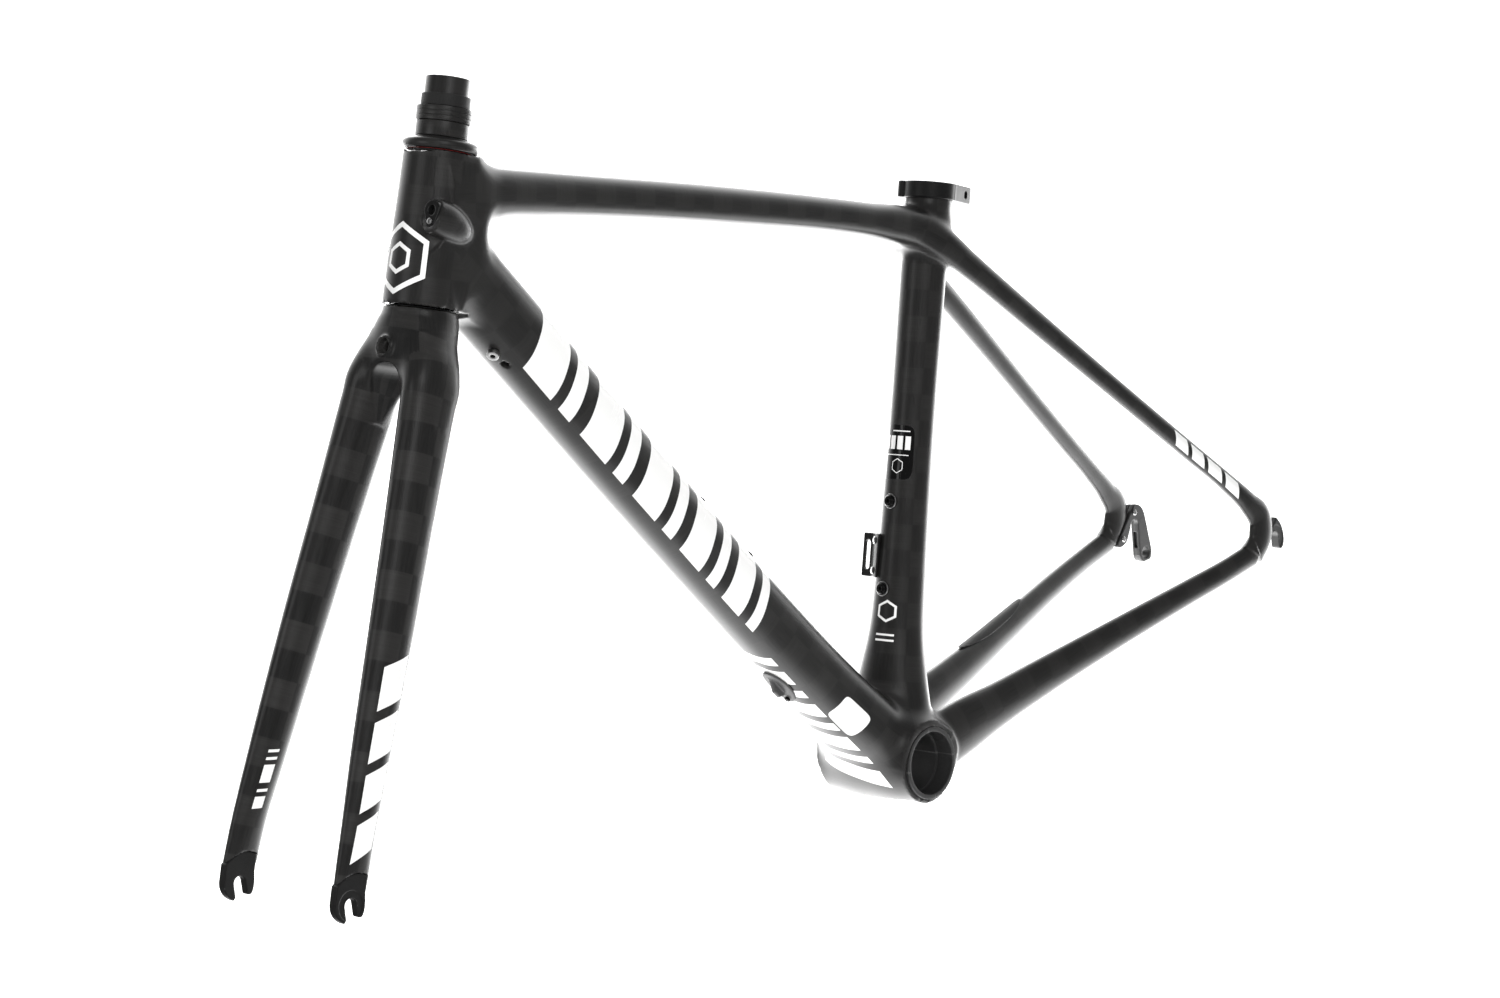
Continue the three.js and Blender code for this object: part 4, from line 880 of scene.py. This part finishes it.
def guard_field(points):
    skin = frame_tubes[RIGHT_CHAIN_STAY](points)
    from_middle = points - np.array([190, 48, 57])
    run = Vector((1, 0.16, 0.175)).normalized()
    along = from_middle @ np.array(run)
    above = from_middle @ np.array(Vector((-0.17, 0, 1)).normalized())
    across = from_middle @ np.array([-run.y, run.x, 0])
    half_height = 13 * np.maximum(1 - (along / 78) ** 2, 0) - 1
    window = np.maximum(np.abs(above) - half_height, slab(across, -8, 8))
    return both(np.abs(skin - 0.85) - 0.55, window, 0.5)


# ---- Screws and turned parts ----


def with_socket(mesh, width, depth, top, place):
    """The mesh with a hex socket in its end at z = top. The width is from the middle to a corner."""
    points = [(width * math.cos(k * math.pi / 3), width * math.sin(k * math.pi / 3)) for k in range(6)]
    prism = [(x, y, z) for z in (top - depth, top + 2) for x, y in points]
    faces = [tuple(range(5, -1, -1)), tuple(range(6, 12))]
    faces += [(k, (k + 1) % 6, 6 + (k + 1) % 6, 6 + k) for k in range(6)]
    cutter = mesh_of("socket", prism, faces, place)
    face_outward(cutter)
    return cut(mesh, cutter)


def small_screw(name, head, shank, length, place, socket=0.9):
    profile = rounded([
        (0, -length), (shank, -length), (shank, 0), (head, 0), (head, 0.7), (head * 0.8, 1.2), (0, 1.4),
    ], 0.25, closed=False)
    return with_socket(turned(name, profile, place, 64), socket, 0.8, 1.4, place)


def bottle_bolt(name, surface_height, place):
    base = surface_height + 1.1
    profile = rounded([
        (0, base - 9), (2.3, base - 9), (2.3, base), (4.4, base),
        (4.4, base + 1.2), (3.2, base + 2.6), (0, base + 2.6),
    ], 0.5, closed=False)
    return with_socket(turned(name, profile, place, 72), 1.8, 1.7, base + 2.6, place)


def boss(name, surface_height, place):
    face = surface_height + 1.1
    return turned(name, rounded([
        (2.6, face - 10), (3.6, face - 10), (3.6, face - 0.8), (5.6, face - 0.8), (5.4, face),
        (4.7, face), (4.7, face - 0.3), (2.6, face - 0.3),
    ], 0.25), place, 96)


TURNED_PART = 20.0  # stands for a tube's number


def lay_turned(mesh, place):
    """The lay of a part turned about the place's Z axis."""
    back = np.array(place.inverted())
    count = len(mesh.loops)
    points = np.zeros(len(mesh.vertices) * 3)
    mesh.vertices.foreach_get("co", points)
    points = points.reshape(-1, 3) / MM @ back[:3, :3].T + back[:3, 3]
    corner = np.zeros(count, int)
    mesh.loops.foreach_get("vertex_index", corner)
    starts, totals = np.zeros(len(mesh.polygons), int), np.zeros(len(mesh.polygons), int)
    mesh.polygons.foreach_get("loop_start", starts)
    mesh.polygons.foreach_get("loop_total", totals)
    radius = np.hypot(points[:, 0], points[:, 1]).max()
    turn = max(4, 2 * round(math.pi * radius / FIBRE_SQUARE)) * FIBRE_SQUARE
    around = np.arctan2(points[:, 1], points[:, 0]) / (2 * math.pi) * turn
    values = around[corner]
    first = np.repeat(values[starts], totals)
    values -= turn * np.round((values - first) / turn)
    write_lay(mesh, points[corner, 2], values, np.full(count, TURNED_PART))


# ---- Materials ----


class Number:
    """A number inside a material, which can be added, multiplied and compared."""

    def __init__(self, tree, socket):
        self.tree, self.socket = tree, socket

    def math(self, kind, *others):
        node = self.tree.nodes.new("ShaderNodeMath")
        node.operation = kind
        for slot, value in zip(node.inputs, (self, *others)):
            if isinstance(value, Number):
                self.tree.links.new(value.socket, slot)
            else:
                slot.default_value = value
        return Number(self.tree, node.outputs[0])

    def __add__(self, other):
        return self.math("ADD", other)

    def __sub__(self, other):
        return self.math("SUBTRACT", other)

    def __mul__(self, other):
        return self.math("MULTIPLY", other)

    def clamp(self):
        return self.math("MINIMUM", 1.0).math("MAXIMUM", 0.0)

    def floor(self):
        return self.math("FLOOR")

    def between(self, low, high, soft=0.12):
        """1 between the two limits, and 0 outside."""
        rise = ((self - low) * (1 / soft)).clamp()
        fall = ((self * -1 + high) * (1 / soft)).clamp()
        return rise * fall


def highest(numbers):
    """The largest of some numbers."""
    return functools.reduce(lambda a, b: a.math("MAXIMUM", b), numbers)


class Nodes:
    """A node tree in the making."""

    def __init__(self, tree):
        self.tree = tree

    def node(self, kind, **settings):
        made = self.tree.nodes.new(kind)
        for name, value in settings.items():
            if name in made.inputs:
                self.put(made.inputs[name], value)
            else:
                setattr(made, name, value)
        return made

    def put(self, socket, value):
        if isinstance(value, Number):
            self.tree.links.new(value.socket, socket)
        elif isinstance(value, bpy.types.NodeSocket):
            self.tree.links.new(value, socket)
        else:
            socket.default_value = value


class Material(Nodes):
    """A node material in the making."""

    def __init__(self, name):
        self.material = bpy.data.materials.new(name)
        self.material.use_nodes = True
        super().__init__(self.material.node_tree)
        self.shader = self.tree.nodes["Principled BSDF"]

    def set(self, **inputs):
        for name, value in inputs.items():
            self.put(self.shader.inputs[name.replace("_", " ")], value)

    def place(self):
        """Object coordinates, which are metres."""
        return self.node("ShaderNodeTexCoord").outputs["Object"]

    def split(self, vector):
        parts = self.node("ShaderNodeSeparateXYZ")
        self.put(parts.inputs[0], vector)
        return [Number(self.tree, socket) for socket in parts.outputs]

    def join(self, x, y, z=0.0):
        made = self.node("ShaderNodeCombineXYZ")
        for slot, value in zip(made.inputs, (x, y, z)):
            self.put(slot, value)
        return made.outputs[0]

    def noise(self, scale, vector=None, detail=3.0):
        made = self.node("ShaderNodeTexNoise", Scale=scale, Detail=detail)
        self.put(made.inputs["Vector"], vector or self.place())
        return Number(self.tree, made.outputs["Fac"])

    def stretched(self, factors, scale):
        """Noise on object coordinates that are squeezed by the factors."""
        mapping = self.node("ShaderNodeMapping", Scale=factors)
        self.put(mapping.inputs["Vector"], self.place())
        return self.noise(scale, mapping.outputs[0])

    def mix(self, share, a, b):
        made = self.node("ShaderNodeMix", data_type="RGBA")
        for slot, value in ((0, share), (6, a), (7, b)):  # a colour mix has its colours in slots 6 and 7
            self.put(made.inputs[slot], value)
        return made.outputs[2]

    def bump(self, height, distance, strength=1.0, under=None):
        made = self.node("ShaderNodeBump", Strength=strength, Distance=distance)
        self.put(made.inputs["Height"], height)
        if under is not None:
            self.put(made.inputs["Normal"], under)
        return made.outputs[0]

    def edges(self):
        """1 on sharp outer edges, where a finish wears."""
        low, high = 0.53, 0.6
        point = Number(self.tree, self.node("ShaderNodeNewGeometry").outputs["Pointiness"])
        return ((point - low) * (1 / (high - low))).clamp()


def grey(value, warm=0.0):
    return (value * (1 + warm), value, value * (1 - warm), 1)


WHITE_INK = (0.9, 0.9, 0.89, 1)


def weave(made, lay, contrast):
    """Squares of fibre that lie along and across by turns: their shade and the height of their threads."""
    along, around, tube = made.split(lay)
    column, row = along * (1 / FIBRE_SQUARE), around * (1 / FIBRE_SQUARE)
    turn = (column.floor() + row.floor()).math("FLOORED_MODULO", 2.0)
    dice = made.node("ShaderNodeTexWhiteNoise", noise_dimensions="3D")
    made.put(dice.inputs["Vector"], made.join(column.floor(), row.floor(), tube))
    tint = Number(made.tree, dice.outputs["Value"])
    lengthwise = made.noise(1.0, made.join(along * 0.05, around * 1.6, tube), 4.0)
    crosswise = made.noise(1.0, made.join(along * 1.6, around * 0.05, tube), 4.0)
    threads = lengthwise * (turn * -1 + 1) + crosswise * turn
    seam = column.math("FRACT").between(0.015, 0.985, 0.02) * row.math("FRACT").between(0.015, 0.985, 0.02)
    shade = (tint * 0.15 + turn * 0.5 - 0.325) * contrast + threads * 0.5
    return shade * (seam * 0.1 + 0.9), threads, turn


def bars(place, tube, owner, spans):
    """Bars of ink across one tube. Each span is (from, to) in millimetres along the tube."""
    return highest([place.between(start, end) for start, end in spans]) * on_tube(tube, owner)


def on_tube(tube, owner):
    return tube.between(owner - 0.5, owner + 0.5)


def from_front(around, half_turn):
    """Millimetres round a tube from its front, for a tube whose angles start at the rear."""
    return around - around.math("SIGN") * half_turn


def panel(x, y, half_width, half_height, power=6.0):
    """A rectangle with rounded corners."""
    across = (x.math("ABSOLUTE") * (1 / half_width)).math("POWER", power)
    up = (y.math("ABSOLUTE") * (1 / half_height)).math("POWER", power)
    return ((across + up) * -8.0 + 8.0).clamp()


def hexagon(x, y, inner, outer):
    """The outline of a hexagon, between two sizes."""
    slope = x.math("ABSOLUTE") * 0.5 + y.math("ABSOLUTE") * 0.866
    return x.math("ABSOLUTE").math("MAXIMUM", slope).between(inner, outer)


def carbon_material(name, contrast, marks=(), label=None):
    """Satin carbon with its chequer of fibre squares, white marks and a glossy black label."""
    made = Material(name)
    lay = made.node("ShaderNodeAttribute", attribute_name="lay").outputs["Vector"]
    shade, threads, turn = weave(made, lay, contrast)
    cloud = made.noise(9.0, detail=4.0)
    colour = made.mix((shade * 1.5).clamp(), grey(0.007), grey(0.03, 0.03))
    colour = made.mix((cloud - 0.3) * 0.25, colour, grey(0.02))
    along, around, tube = made.split(lay)
    dust = made.noise(260.0, detail=2.0)
    rough = threads * 0.08 + cloud * 0.06 + turn * 0.05 * contrast + dust * 0.05 + 0.22
    bump = made.bump(threads, 0.00006, 0.5)
    if label is not None:
        sheet = label(along, around, tube)
        colour = made.mix(sheet, colour, grey(0.003))
        rough = rough * (sheet * -0.7 + 1)
    if marks:
        cover = highest([mark(along, around, tube) for mark in marks])
        colour = made.mix(cover, colour, WHITE_INK)
        rough = rough * (cover * -0.2 + 1)
        bump = made.bump(cover, 0.00012, 0.6, bump)
    made.set(Base_Color=colour, Roughness=rough, Normal=bump, IOR=1.47)
    return made.material, "carbon"


def metal(name, dark, light, rough, metallic, grain, grain_scale, wear=grey(0.35)):
    """Metal with a grain, cloudy roughness and bright worn edges."""
    made = Material(name)
    streaks = made.stretched(grain, grain_scale)
    cloud = made.noise(60.0, detail=4.0)
    worn = made.edges() * made.noise(300.0) * 0.5
    colour = made.mix(streaks * 0.6 + cloud * 0.4, dark, light)
    colour = made.mix(worn, colour, wear)
    roughness = cloud * 0.16 + streaks * 0.1 + (rough - 0.1)
    bump = made.bump(streaks, 0.00003, 0.5)
    made.set(Base_Color=colour, Roughness=roughness, Metallic=metallic, Normal=bump)
    return made.material, name


def plastic(name, dark, light, rough, grain=1400.0, depth=0.00004):
    """Moulded plastic or rubber with a fine grain and rubbed patches."""
    made = Material(name)
    pits = made.noise(grain, detail=2.0)
    cloud = made.noise(45.0, detail=4.0)
    colour = made.mix(cloud * 0.7 + pits * 0.3, dark, light)
    colour = made.mix(made.edges() * 0.3, colour, grey(0.2))
    bump = made.bump(pits, depth, 0.6)
    made.set(Base_Color=colour, Roughness=cloud * 0.18 + pits * 0.08 + (rough - 0.12), Normal=bump)
    return made.material, name


# ---- Marks: plain white bars and shapes, drawn in millimetres along and round a tube ----


def down_tube_bars(along, around, tube):
    """Slanted bars on the left side, a wide one and a narrow one by turns."""
    spans = [
        (118, 152), (161, 175), (188, 220), (229, 242), (254, 283),
        (292, 304), (315, 341), (350, 361), (371, 394), (403, 413),
    ]
    return bars(along - around * 0.32, tube, DOWN_TUBE, spans) * around.between(-72, -17)


def down_tube_foot_bars(along, around, tube):
    """Bars under the down tube, ahead of the bottom bracket."""
    spans = [(430, 440), (447, 463), (471, 480), (488, 504), (512, 521), (529, 546), (554, 562), (569, 584)]
    return bars(along + around * 0.5, tube, DOWN_TUBE, spans) * around.between(-14, 18)


def bracket_label(along, around, tube):
    """A blank label on the left, near the bottom bracket."""
    return panel(around + 25, along - 522, 10, 15) * on_tube(tube, DOWN_TUBE)


def left_blade_bars(along, around, tube):
    spans = [(222, 250), (257, 283), (290, 314), (321, 345)]
    return bars(along - around * 0.8, tube, 1, spans) * around.between(-27, -12)


def right_blade_bars(along, around, tube):
    spans = [(277, 279), (282, 284), (287, 299), (303, 305), (308, 316)]
    return bars(along - around * 0.3, tube, 2, spans) * around.between(-20.5, -13.5)


def stay_bars(along, around, tube):
    spans = [(326, 342), (347, 363), (368, 386), (391, 409)]
    return bars(along - around * 0.5, tube, LEFT_SEAT_STAY, spans) * around.between(-25, -8)


def head_badge(along, around, tube):
    """A small hexagon in a large one, on the front of the head tube."""
    x, y = from_front(around, HEAD_HALF_TURN), along - 29
    return highest([hexagon(x, y, 17, 20.4), hexagon(x, y, 6.5, 9.2)]) * on_tube(tube, HEAD_TUBE)


def seat_tube_badge(along, around, tube):
    """A hexagon above two thin lines, below the lower bottle bolt."""
    x, y = from_front(around, SEAT_HALF_TURN) - 4.5, along - 107
    lines = highest([y.between(-22, -20.4), y.between(-18, -16.4)]) * x.between(-6.5, 6.5)
    return highest([hexagon(x, y, 5.4, 7.2), lines]) * on_tube(tube, SEAT_TUBE)


SIZE_LABEL_ALONG = 223


def size_label(along, around, tube):
    x, y = from_front(around, SEAT_HALF_TURN), along - SIZE_LABEL_ALONG
    return panel(x, y, 16, 20) * on_tube(tube, SEAT_TUBE)


def size_label_lines(along, around, tube):
    """The fine white shapes on the size label."""
    x, y = from_front(around, SEAT_HALF_TURN), along - SIZE_LABEL_ALONG
    blocks = y.between(2, 12) * x.between(-13, 13) * (x * (1 / 7)).math("FRACT").between(0.2, 0.95, 0.05)
    upper_rule = y.between(15, 16) * x.between(-4, 12)
    lower_rule = y.between(-2.4, -1.6) * x.between(-12, 12)
    shape = hexagon(x - 3, y + 10, 4.2, 4.9)
    return highest([blocks, upper_rule, lower_rule, shape]) * on_tube(tube, SEAT_TUBE)


HEAD_HALF_TURN = head_tube.turn / 2
SEAT_HALF_TURN = seat_tube.turn / 2
frame_marks = (
    down_tube_bars, down_tube_foot_bars, bracket_label, stay_bars,
    head_badge, seat_tube_badge, size_label_lines,
)
fork_marks = (left_blade_bars, right_blade_bars)

frame_carbon = carbon_material("frame_carbon", 0.25, frame_marks, size_label)
fork_carbon = carbon_material("fork_carbon", 0.55, fork_marks)
plain_carbon = carbon_material("plain_carbon", 0.25)
dark_alloy = metal("dark_alloy", grey(0.05), grey(0.12), 0.42, 0.85, (1, 1, 1), 1500.0)
anodised = metal("black_anodised", grey(0.01), grey(0.028), 0.38, 0.6, (1, 1, 1), 1100.0, grey(0.16))
bare_alloy = metal("bare_alloy", grey(0.4), grey(0.62), 0.3, 1.0, (1, 1, 6), 700.0, grey(0.8))
sleeve_alloy = metal("sleeve_alloy", grey(0.02), grey(0.06), 0.42, 0.6, (1, 8, 1), 500.0, grey(0.3))
black_steel = metal("black_steel", grey(0.006), grey(0.02), 0.32, 0.85, (1, 1, 1), 1300.0, grey(0.3))
steel = metal("steel", grey(0.45), grey(0.68), 0.2, 1.0, (1, 1, 6), 600.0, grey(0.85))
gloss_plastic = plastic("gloss_black_plastic", grey(0.004), grey(0.009), 0.16, 500.0, 0.00001)
matte_plastic = plastic("matte_black_plastic", grey(0.008), grey(0.02), 0.58)
grey_plastic = plastic("grey_plastic", grey(0.03), grey(0.06), 0.5)
red_rubber = plastic("red_rubber", (0.1, 0.006, 0.006, 1), (0.16, 0.012, 0.01, 1), 0.7)

# ---- Building: the moulded shells and what is bonded to them ----

frame_shell(frame_carbon)
fork_shell(fork_carbon)

SHELL_FACE = BB_WIDTH / 2
ACROSS = BASE @ OUTWARD_Y
sleeve_profile = rounded([
    (23, -SHELL_FACE), (BB_SLEEVE_RADIUS, -SHELL_FACE), (BB_SLEEVE_RADIUS, SHELL_FACE), (23, SHELL_FACE),
    (23, SHELL_FACE - 14), (21.5, SHELL_FACE - 14), (21.5, -SHELL_FACE + 14), (23, -SHELL_FACE + 14),
], 0.4)
sleeve = turned("bottom_bracket_sleeve", sleeve_profile, ACROSS, 160)
add_object("bottom_bracket_sleeve", sleeve, "frame", ["bottom_bracket_shell"], (sleeve_alloy[0], "carbon"))

field_piece(
    "rear_dropout_left_part", left_dropout_field, (-24, -76, -16), (17, -62, 20),
    AXLE, "rear_dropout_left", dark_alloy,
)
field_piece(
    "rear_dropout_right_part", right_tab_field, (-28, 67, -17), (12, 76, 21),
    AXLE, "rear_dropout_right", dark_alloy,
)
field_piece(
    "derailleur_hanger_part", hanger_field, (-28, 62, -35), (24, 76, 21),
    AXLE, "derailleur_hanger", dark_alloy,
)


def frame_part(name, mesh, look):
    """A piece of the frame that replaces the CAD node of its name."""
    add_object(name + "_part", mesh, "frame", [name], look)


screw_profile = [(0, 0), (1.9, 0), (2.4, 0.5), (2.4, 1.5), (1.45, 1.5), (1.45, 8.6), (0, 8.6)]
for level, (x, z) in HANGER_SCREWS.items():
    place = AXLE @ shift(x, DROPOUT_INNER - 1.6, z) @ OUTWARD_Y
    screw = turned("screw", rounded(screw_profile, 0.2, closed=False), place, 48)
    screw = with_socket(screw, 1.1, 0.9, 0, place @ Matrix.Rotation(math.pi, 4, "X"))
    frame_part(f"hanger_screw_{level}", screw, steel)

SEAT_FRONT = Vector(on_seat(0)) + turn_y(SEAT_TILT) @ Vector((-1, 0, 0))
boss_places = {
    "seat_tube": [(on_seat(height), SEAT_FRONT, face) for height, face in ((123, 18.7), (187, 17.15))],
    "down_tube": [(DOWN_FOOT + DOWN_ALONG * distance, DOWN_OUT, 24.55) for distance in (70, 134)],
}
for tube_name, spots in boss_places.items():
    for level, (spot, out, face) in zip(("lower", "upper"), spots):
        place = basis(spot, out, (0, 1, 0))
        name = f"{tube_name}_boss_{level}"
        frame_part(name, boss(name, face, place), bare_alloy)
        name = f"{tube_name}_bottle_bolt_{level}"
        frame_part(name, bottle_bolt(name, face, place), black_steel)

field_piece(
    "seat_clamp_band", clamp_field, (-22, -22, 406), (41, 22, 424),
    SEAT, "seat_clamp_collar", anodised,
)
clamp_bolt_place = SEAT @ shift(CLAMP_BOLT_X, 0, CLAMP_MIDDLE) @ OUTWARD_Y
bolt_profile = rounded([
    (0, -7.2), (2.45, -7.2), (2.45, 7.6), (4.2, 7.6), (4.2, 12), (3.8, 12.4), (0, 12.4),
], 0.3, closed=False)
clamp_bolt = with_socket(turned("bolt", bolt_profile, clamp_bolt_place, 64), 2.2, 2.5, 12.4, clamp_bolt_place)
frame_part("seat_clamp_bolt", clamp_bolt, black_steel)

field_piece(
    "derailleur_bracket_part", bracket_field, (-22, 0, 128), (2, 31, 165),
    SEAT, "front_derailleur_bracket", anodised,
)
RIVET_TURN = Matrix.Rotation(math.radians(142), 4, "Z") @ turn_y(math.pi / 2)
rivet_profile = [(0, 19.3), (1.4, 19.3), (1.4, 21), (2.9, 21), (2.5, 22), (1.2, 22.4), (0, 22.4)]
for level, height in RIVET_HEIGHTS.items():
    place = SEAT @ shift(0, 0, BRACKET_LOW + height) @ RIVET_TURN
    name = f"bracket_rivet_{level}"
    frame_part(name, turned(name, rounded(rivet_profile, 0.3, closed=False), place, 48), bare_alloy)

field_piece(
    "cable_port_plug", port_insert_field, (-23.5, -33, 42), (-15.5, -12, 70),
    HEAD, "cable_port_insert", gloss_plastic, 0.3,
)
port_screw_place = HEAD @ shift(-21.9, -22.6, 53) @ turn_y(-math.pi / 2)
frame_part("cable_port_screw", small_screw("port_screw", 2.2, 1.2, 4, port_screw_place), steel)

field_piece(
    "port_cover_part", port_cover_field, (-20, -12, 20), (20, 12, 34),
    PORT_PLACE, "down_tube_port_cover", grey_plastic, 0.4,
)
cover_screw_place = PORT_PLACE @ shift(-13, 0, 26.8)
frame_part("port_cover_screw", small_screw("cover_screw", 2.4, 1.3, 6, cover_screw_place), black_steel)

grommet_profile = rounded([(1.7, 20), (2.7, 20), (2.7, 23.2), (4.3, 23.2), (4.1, 26.4), (1.7, 26.4)], 0.25)
grommet = turned("grommet", grommet_profile, side_hole_places[0], 64)
add_object("cable_grommet_part", grommet, "frame", ["down_tube_cable_grommet"], bare_alloy)

field_piece(
    "chain_guard_strip", guard_field, (112, 26, 18), (268, 72, 84),
    BASE, "chain_stay_guard", matte_plastic, 0.7,
)

# ---- Building: the fork's other parts and the headset ----

for side_name, side in (("left", -1), ("right", 1)):
    near, far = sorted((side * 48, side * 58))
    field_piece(
        f"fork_tip_{side_name}", fork_tip_field(side), (-20, near, -14), (20, far, 24),
        FORK_TIP, f"fork_dropout_{side_name}", (anodised[0], "dark_alloy"), body="fork",
    )


def head_part(name, profile, look, radius):
    """A part turned about the steering axis, with its corners rounded to the radius."""
    mesh = turned(name, rounded(profile, radius), HEAD, 128)
    if look[0] == plain_carbon[0]:
        lay_turned(mesh, HEAD)
    add_object(name + "_part", mesh, "fork", [name], look)


def ring_profile(inner, outer, low, height):
    return [(inner, low), (outer, low), (outer, low + height), (inner, low + height)]


steerer_profile = [
    (STEERER_BORE_RADIUS, -34), (14.5, -34), (16.4, -10), (16.4, 8),
    (14.3, 82), (14.3, 148), (STEERER_BORE_RADIUS, 148),
]
head_part("steerer_tube", steerer_profile, plain_carbon, 0.4)
race_profile = [(16.7, -1.2), (22.6, -1.2), (22.6, -0.4), (19.2, 0.4), (16.7, 0.4)]
head_part("crown_race", race_profile, black_steel, 0.2)
FOOT = HEAD_TUBE_LENGTH + 1.1
cover_profile = [
    (21.4, FOOT - 0.4), (23.6, FOOT - 0.4), (24.6, FOOT + 2.0), (24.0, FOOT + 5.0), (21.6, FOOT + 6.4),
    (18.6, FOOT + 6.9), (17.3, FOOT + 7.9), (14.7, FOOT + 7.9), (14.7, FOOT + 3.6), (20.4, FOOT + 1.4),
]
head_part("headset_top_cover", cover_profile, (plain_carbon[0], "black_anodised"), 1.6)
head_part("headset_cover_seal", ring_profile(19.4, 21.2, 100.15, 0.35), red_rubber, 0.2)
head_part("spacer_10mm", ring_profile(SPACER_BORE_RADIUS, 17.1, 109.3, 9.7), plain_carbon, 0.5)
for level, low in (("lower", 119.3), ("middle", 122.4), ("upper", 125.5)):
    head_part(f"spacer_3mm_{level}", ring_profile(SPACER_BORE_RADIUS, 17.9, low, 2.96), plain_carbon, 0.08)
head_part("steerer_guard_band", ring_profile(SPACER_BORE_RADIUS, 15.8, 129, 7.6), matte_plastic, 0.3)

# The bearings' own CAD solids stay, out of sight in the head tube.
kept = {"compression_ring": anodised}
for level in ("lower", "upper"):
    for piece in ("outer_race", "inner_race", "balls"):
        kept[f"{level}_bearing_{piece}"] = steel
for name, (material, _) in kept.items():
    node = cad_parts[name]
    node.data.materials.clear()
    node.data.materials.append(material)

# ---- Studio ----

FLOOR_BELOW_AXLES = 335  # a wheel's radius
PAPER_GLOW = 5.5  # light that the paper under and behind the frame throws on to it
floor_height = (AXLE.translation.z - FLOOR_BELOW_AXLES) * MM
floor_mesh = mesh_of("floor", [(-1, -1, 0), (1, -1, 0), (1, 1, 0), (-1, 1, 0)], [(0, 1, 2, 3)])
floor_mesh.transform(Matrix.Scale(12000, 4))
floor = bpy.data.objects.new("floor", floor_mesh)
floor.location.z = floor_height
bpy.context.scene.collection.objects.link(floor)
paper = Material("paper")
paper_grain = paper.noise(3.0, detail=2.0)
paper_x, paper_y, _ = paper.split(paper.place())
seen = Number(paper.tree, paper.node("ShaderNodeLightPath").outputs["Is Camera Ray"])
depth = paper_x * 0.72 + paper_y * 0.69
sideways = (paper_x * 0.67 - paper_y * 0.74).math("ABSOLUTE")
glow = ((depth - sideways * 0.8 + 0.6) * 1.2).clamp() * PAPER_GLOW
shown = paper.mix(paper_grain, grey(0.86), grey(0.9))
paper.set(Base_Color=paper.mix(seen, grey(0.2), shown), Roughness=paper_grain * 0.1 + 0.85)
paper.set(Emission_Color=grey(1), Emission_Strength=seen + glow * (seen * -1 + 1))
floor_mesh.materials.append(paper.material)

CAMERA_SPOT = Vector((-2021.9, -1819.1, 791.4))
CAMERA_YAW, CAMERA_PITCH, CAMERA_ROLL = map(math.radians, (43.636, -12.21, -6.324))
camera_data = bpy.data.cameras.new("camera")
camera_data.lens = 92.54
camera_data.sensor_width = 36
camera = bpy.data.objects.new("camera", camera_data)
camera.matrix_world = (
    Matrix.Translation((BASE @ CAMERA_SPOT) * MM)
    @ Matrix.Rotation(CAMERA_YAW - math.pi / 2, 4, "Z")
    @ Matrix.Rotation(CAMERA_PITCH + math.pi / 2, 4, "X")
    @ Matrix.Rotation(CAMERA_ROLL, 4, "Z")
)
bpy.context.scene.collection.objects.link(camera)
bpy.context.scene.camera = camera


def soft_light(name, position, target, size, power, glossy=True):
    """A square area light; places are in metres. Without glossy it gives no highlights."""
    data = bpy.data.lights.new(name, "AREA")
    data.energy, data.size = power, size
    lamp = bpy.data.objects.new(name, data)
    lamp.location = position
    direction = Vector(target) - Vector(position)
    lamp.rotation_euler = direction.to_track_quat("-Z", "Y").to_euler()
    lamp.visible_glossy = glossy
    bpy.context.scene.collection.objects.link(lamp)


soft_light("fill", (-2.0, -2.5, 1.3), (-0.1, 0, 0.3), 2.4, 120, glossy=False)
soft_light("key", (-1.2, -2.4, 2.2), (-0.1, 0, 0.3), 1.4, 9)
soft_light("side", (-2.8, 0.4, 1.2), (-0.2, 0, 0.3), 1.2, 6)
soft_light("back", (1.6, 2.4, 1.8), (0, 0, 0.3), 2.0, 45)

bpy.context.scene.view_settings.view_transform = "Standard"
world = bpy.data.worlds.new("studio")
bpy.context.scene.world = world
world.use_nodes = True
sky = Nodes(world.node_tree)
towards_camera = sky.node("ShaderNodeVectorMath", operation="DOT_PRODUCT")
sky.put(towards_camera.inputs[0], sky.node("ShaderNodeTexCoord").outputs["Generated"])
sky.put(towards_camera.inputs[1], (-0.72, -0.69, 0.1))
fade = sky.node("ShaderNodeMapRange", interpolation_type="SMOOTHSTEP")
sky.put(fade.inputs["Value"], towards_camera.outputs["Value"])
for name, value in (("From Min", -0.8), ("From Max", -0.05), ("To Min", 2.4), ("To Max", 0.12)):
    sky.put(fade.inputs[name], value)
seen_directly = Number(sky.tree, sky.node("ShaderNodeLightPath").outputs["Is Camera Ray"])
strength = highest([Number(sky.tree, fade.outputs["Result"]), seen_directly])
background = sky.tree.nodes["Background"]
sky.put(background.inputs["Strength"], strength)
sky.put(background.inputs["Color"], (1, 1, 1, 1))
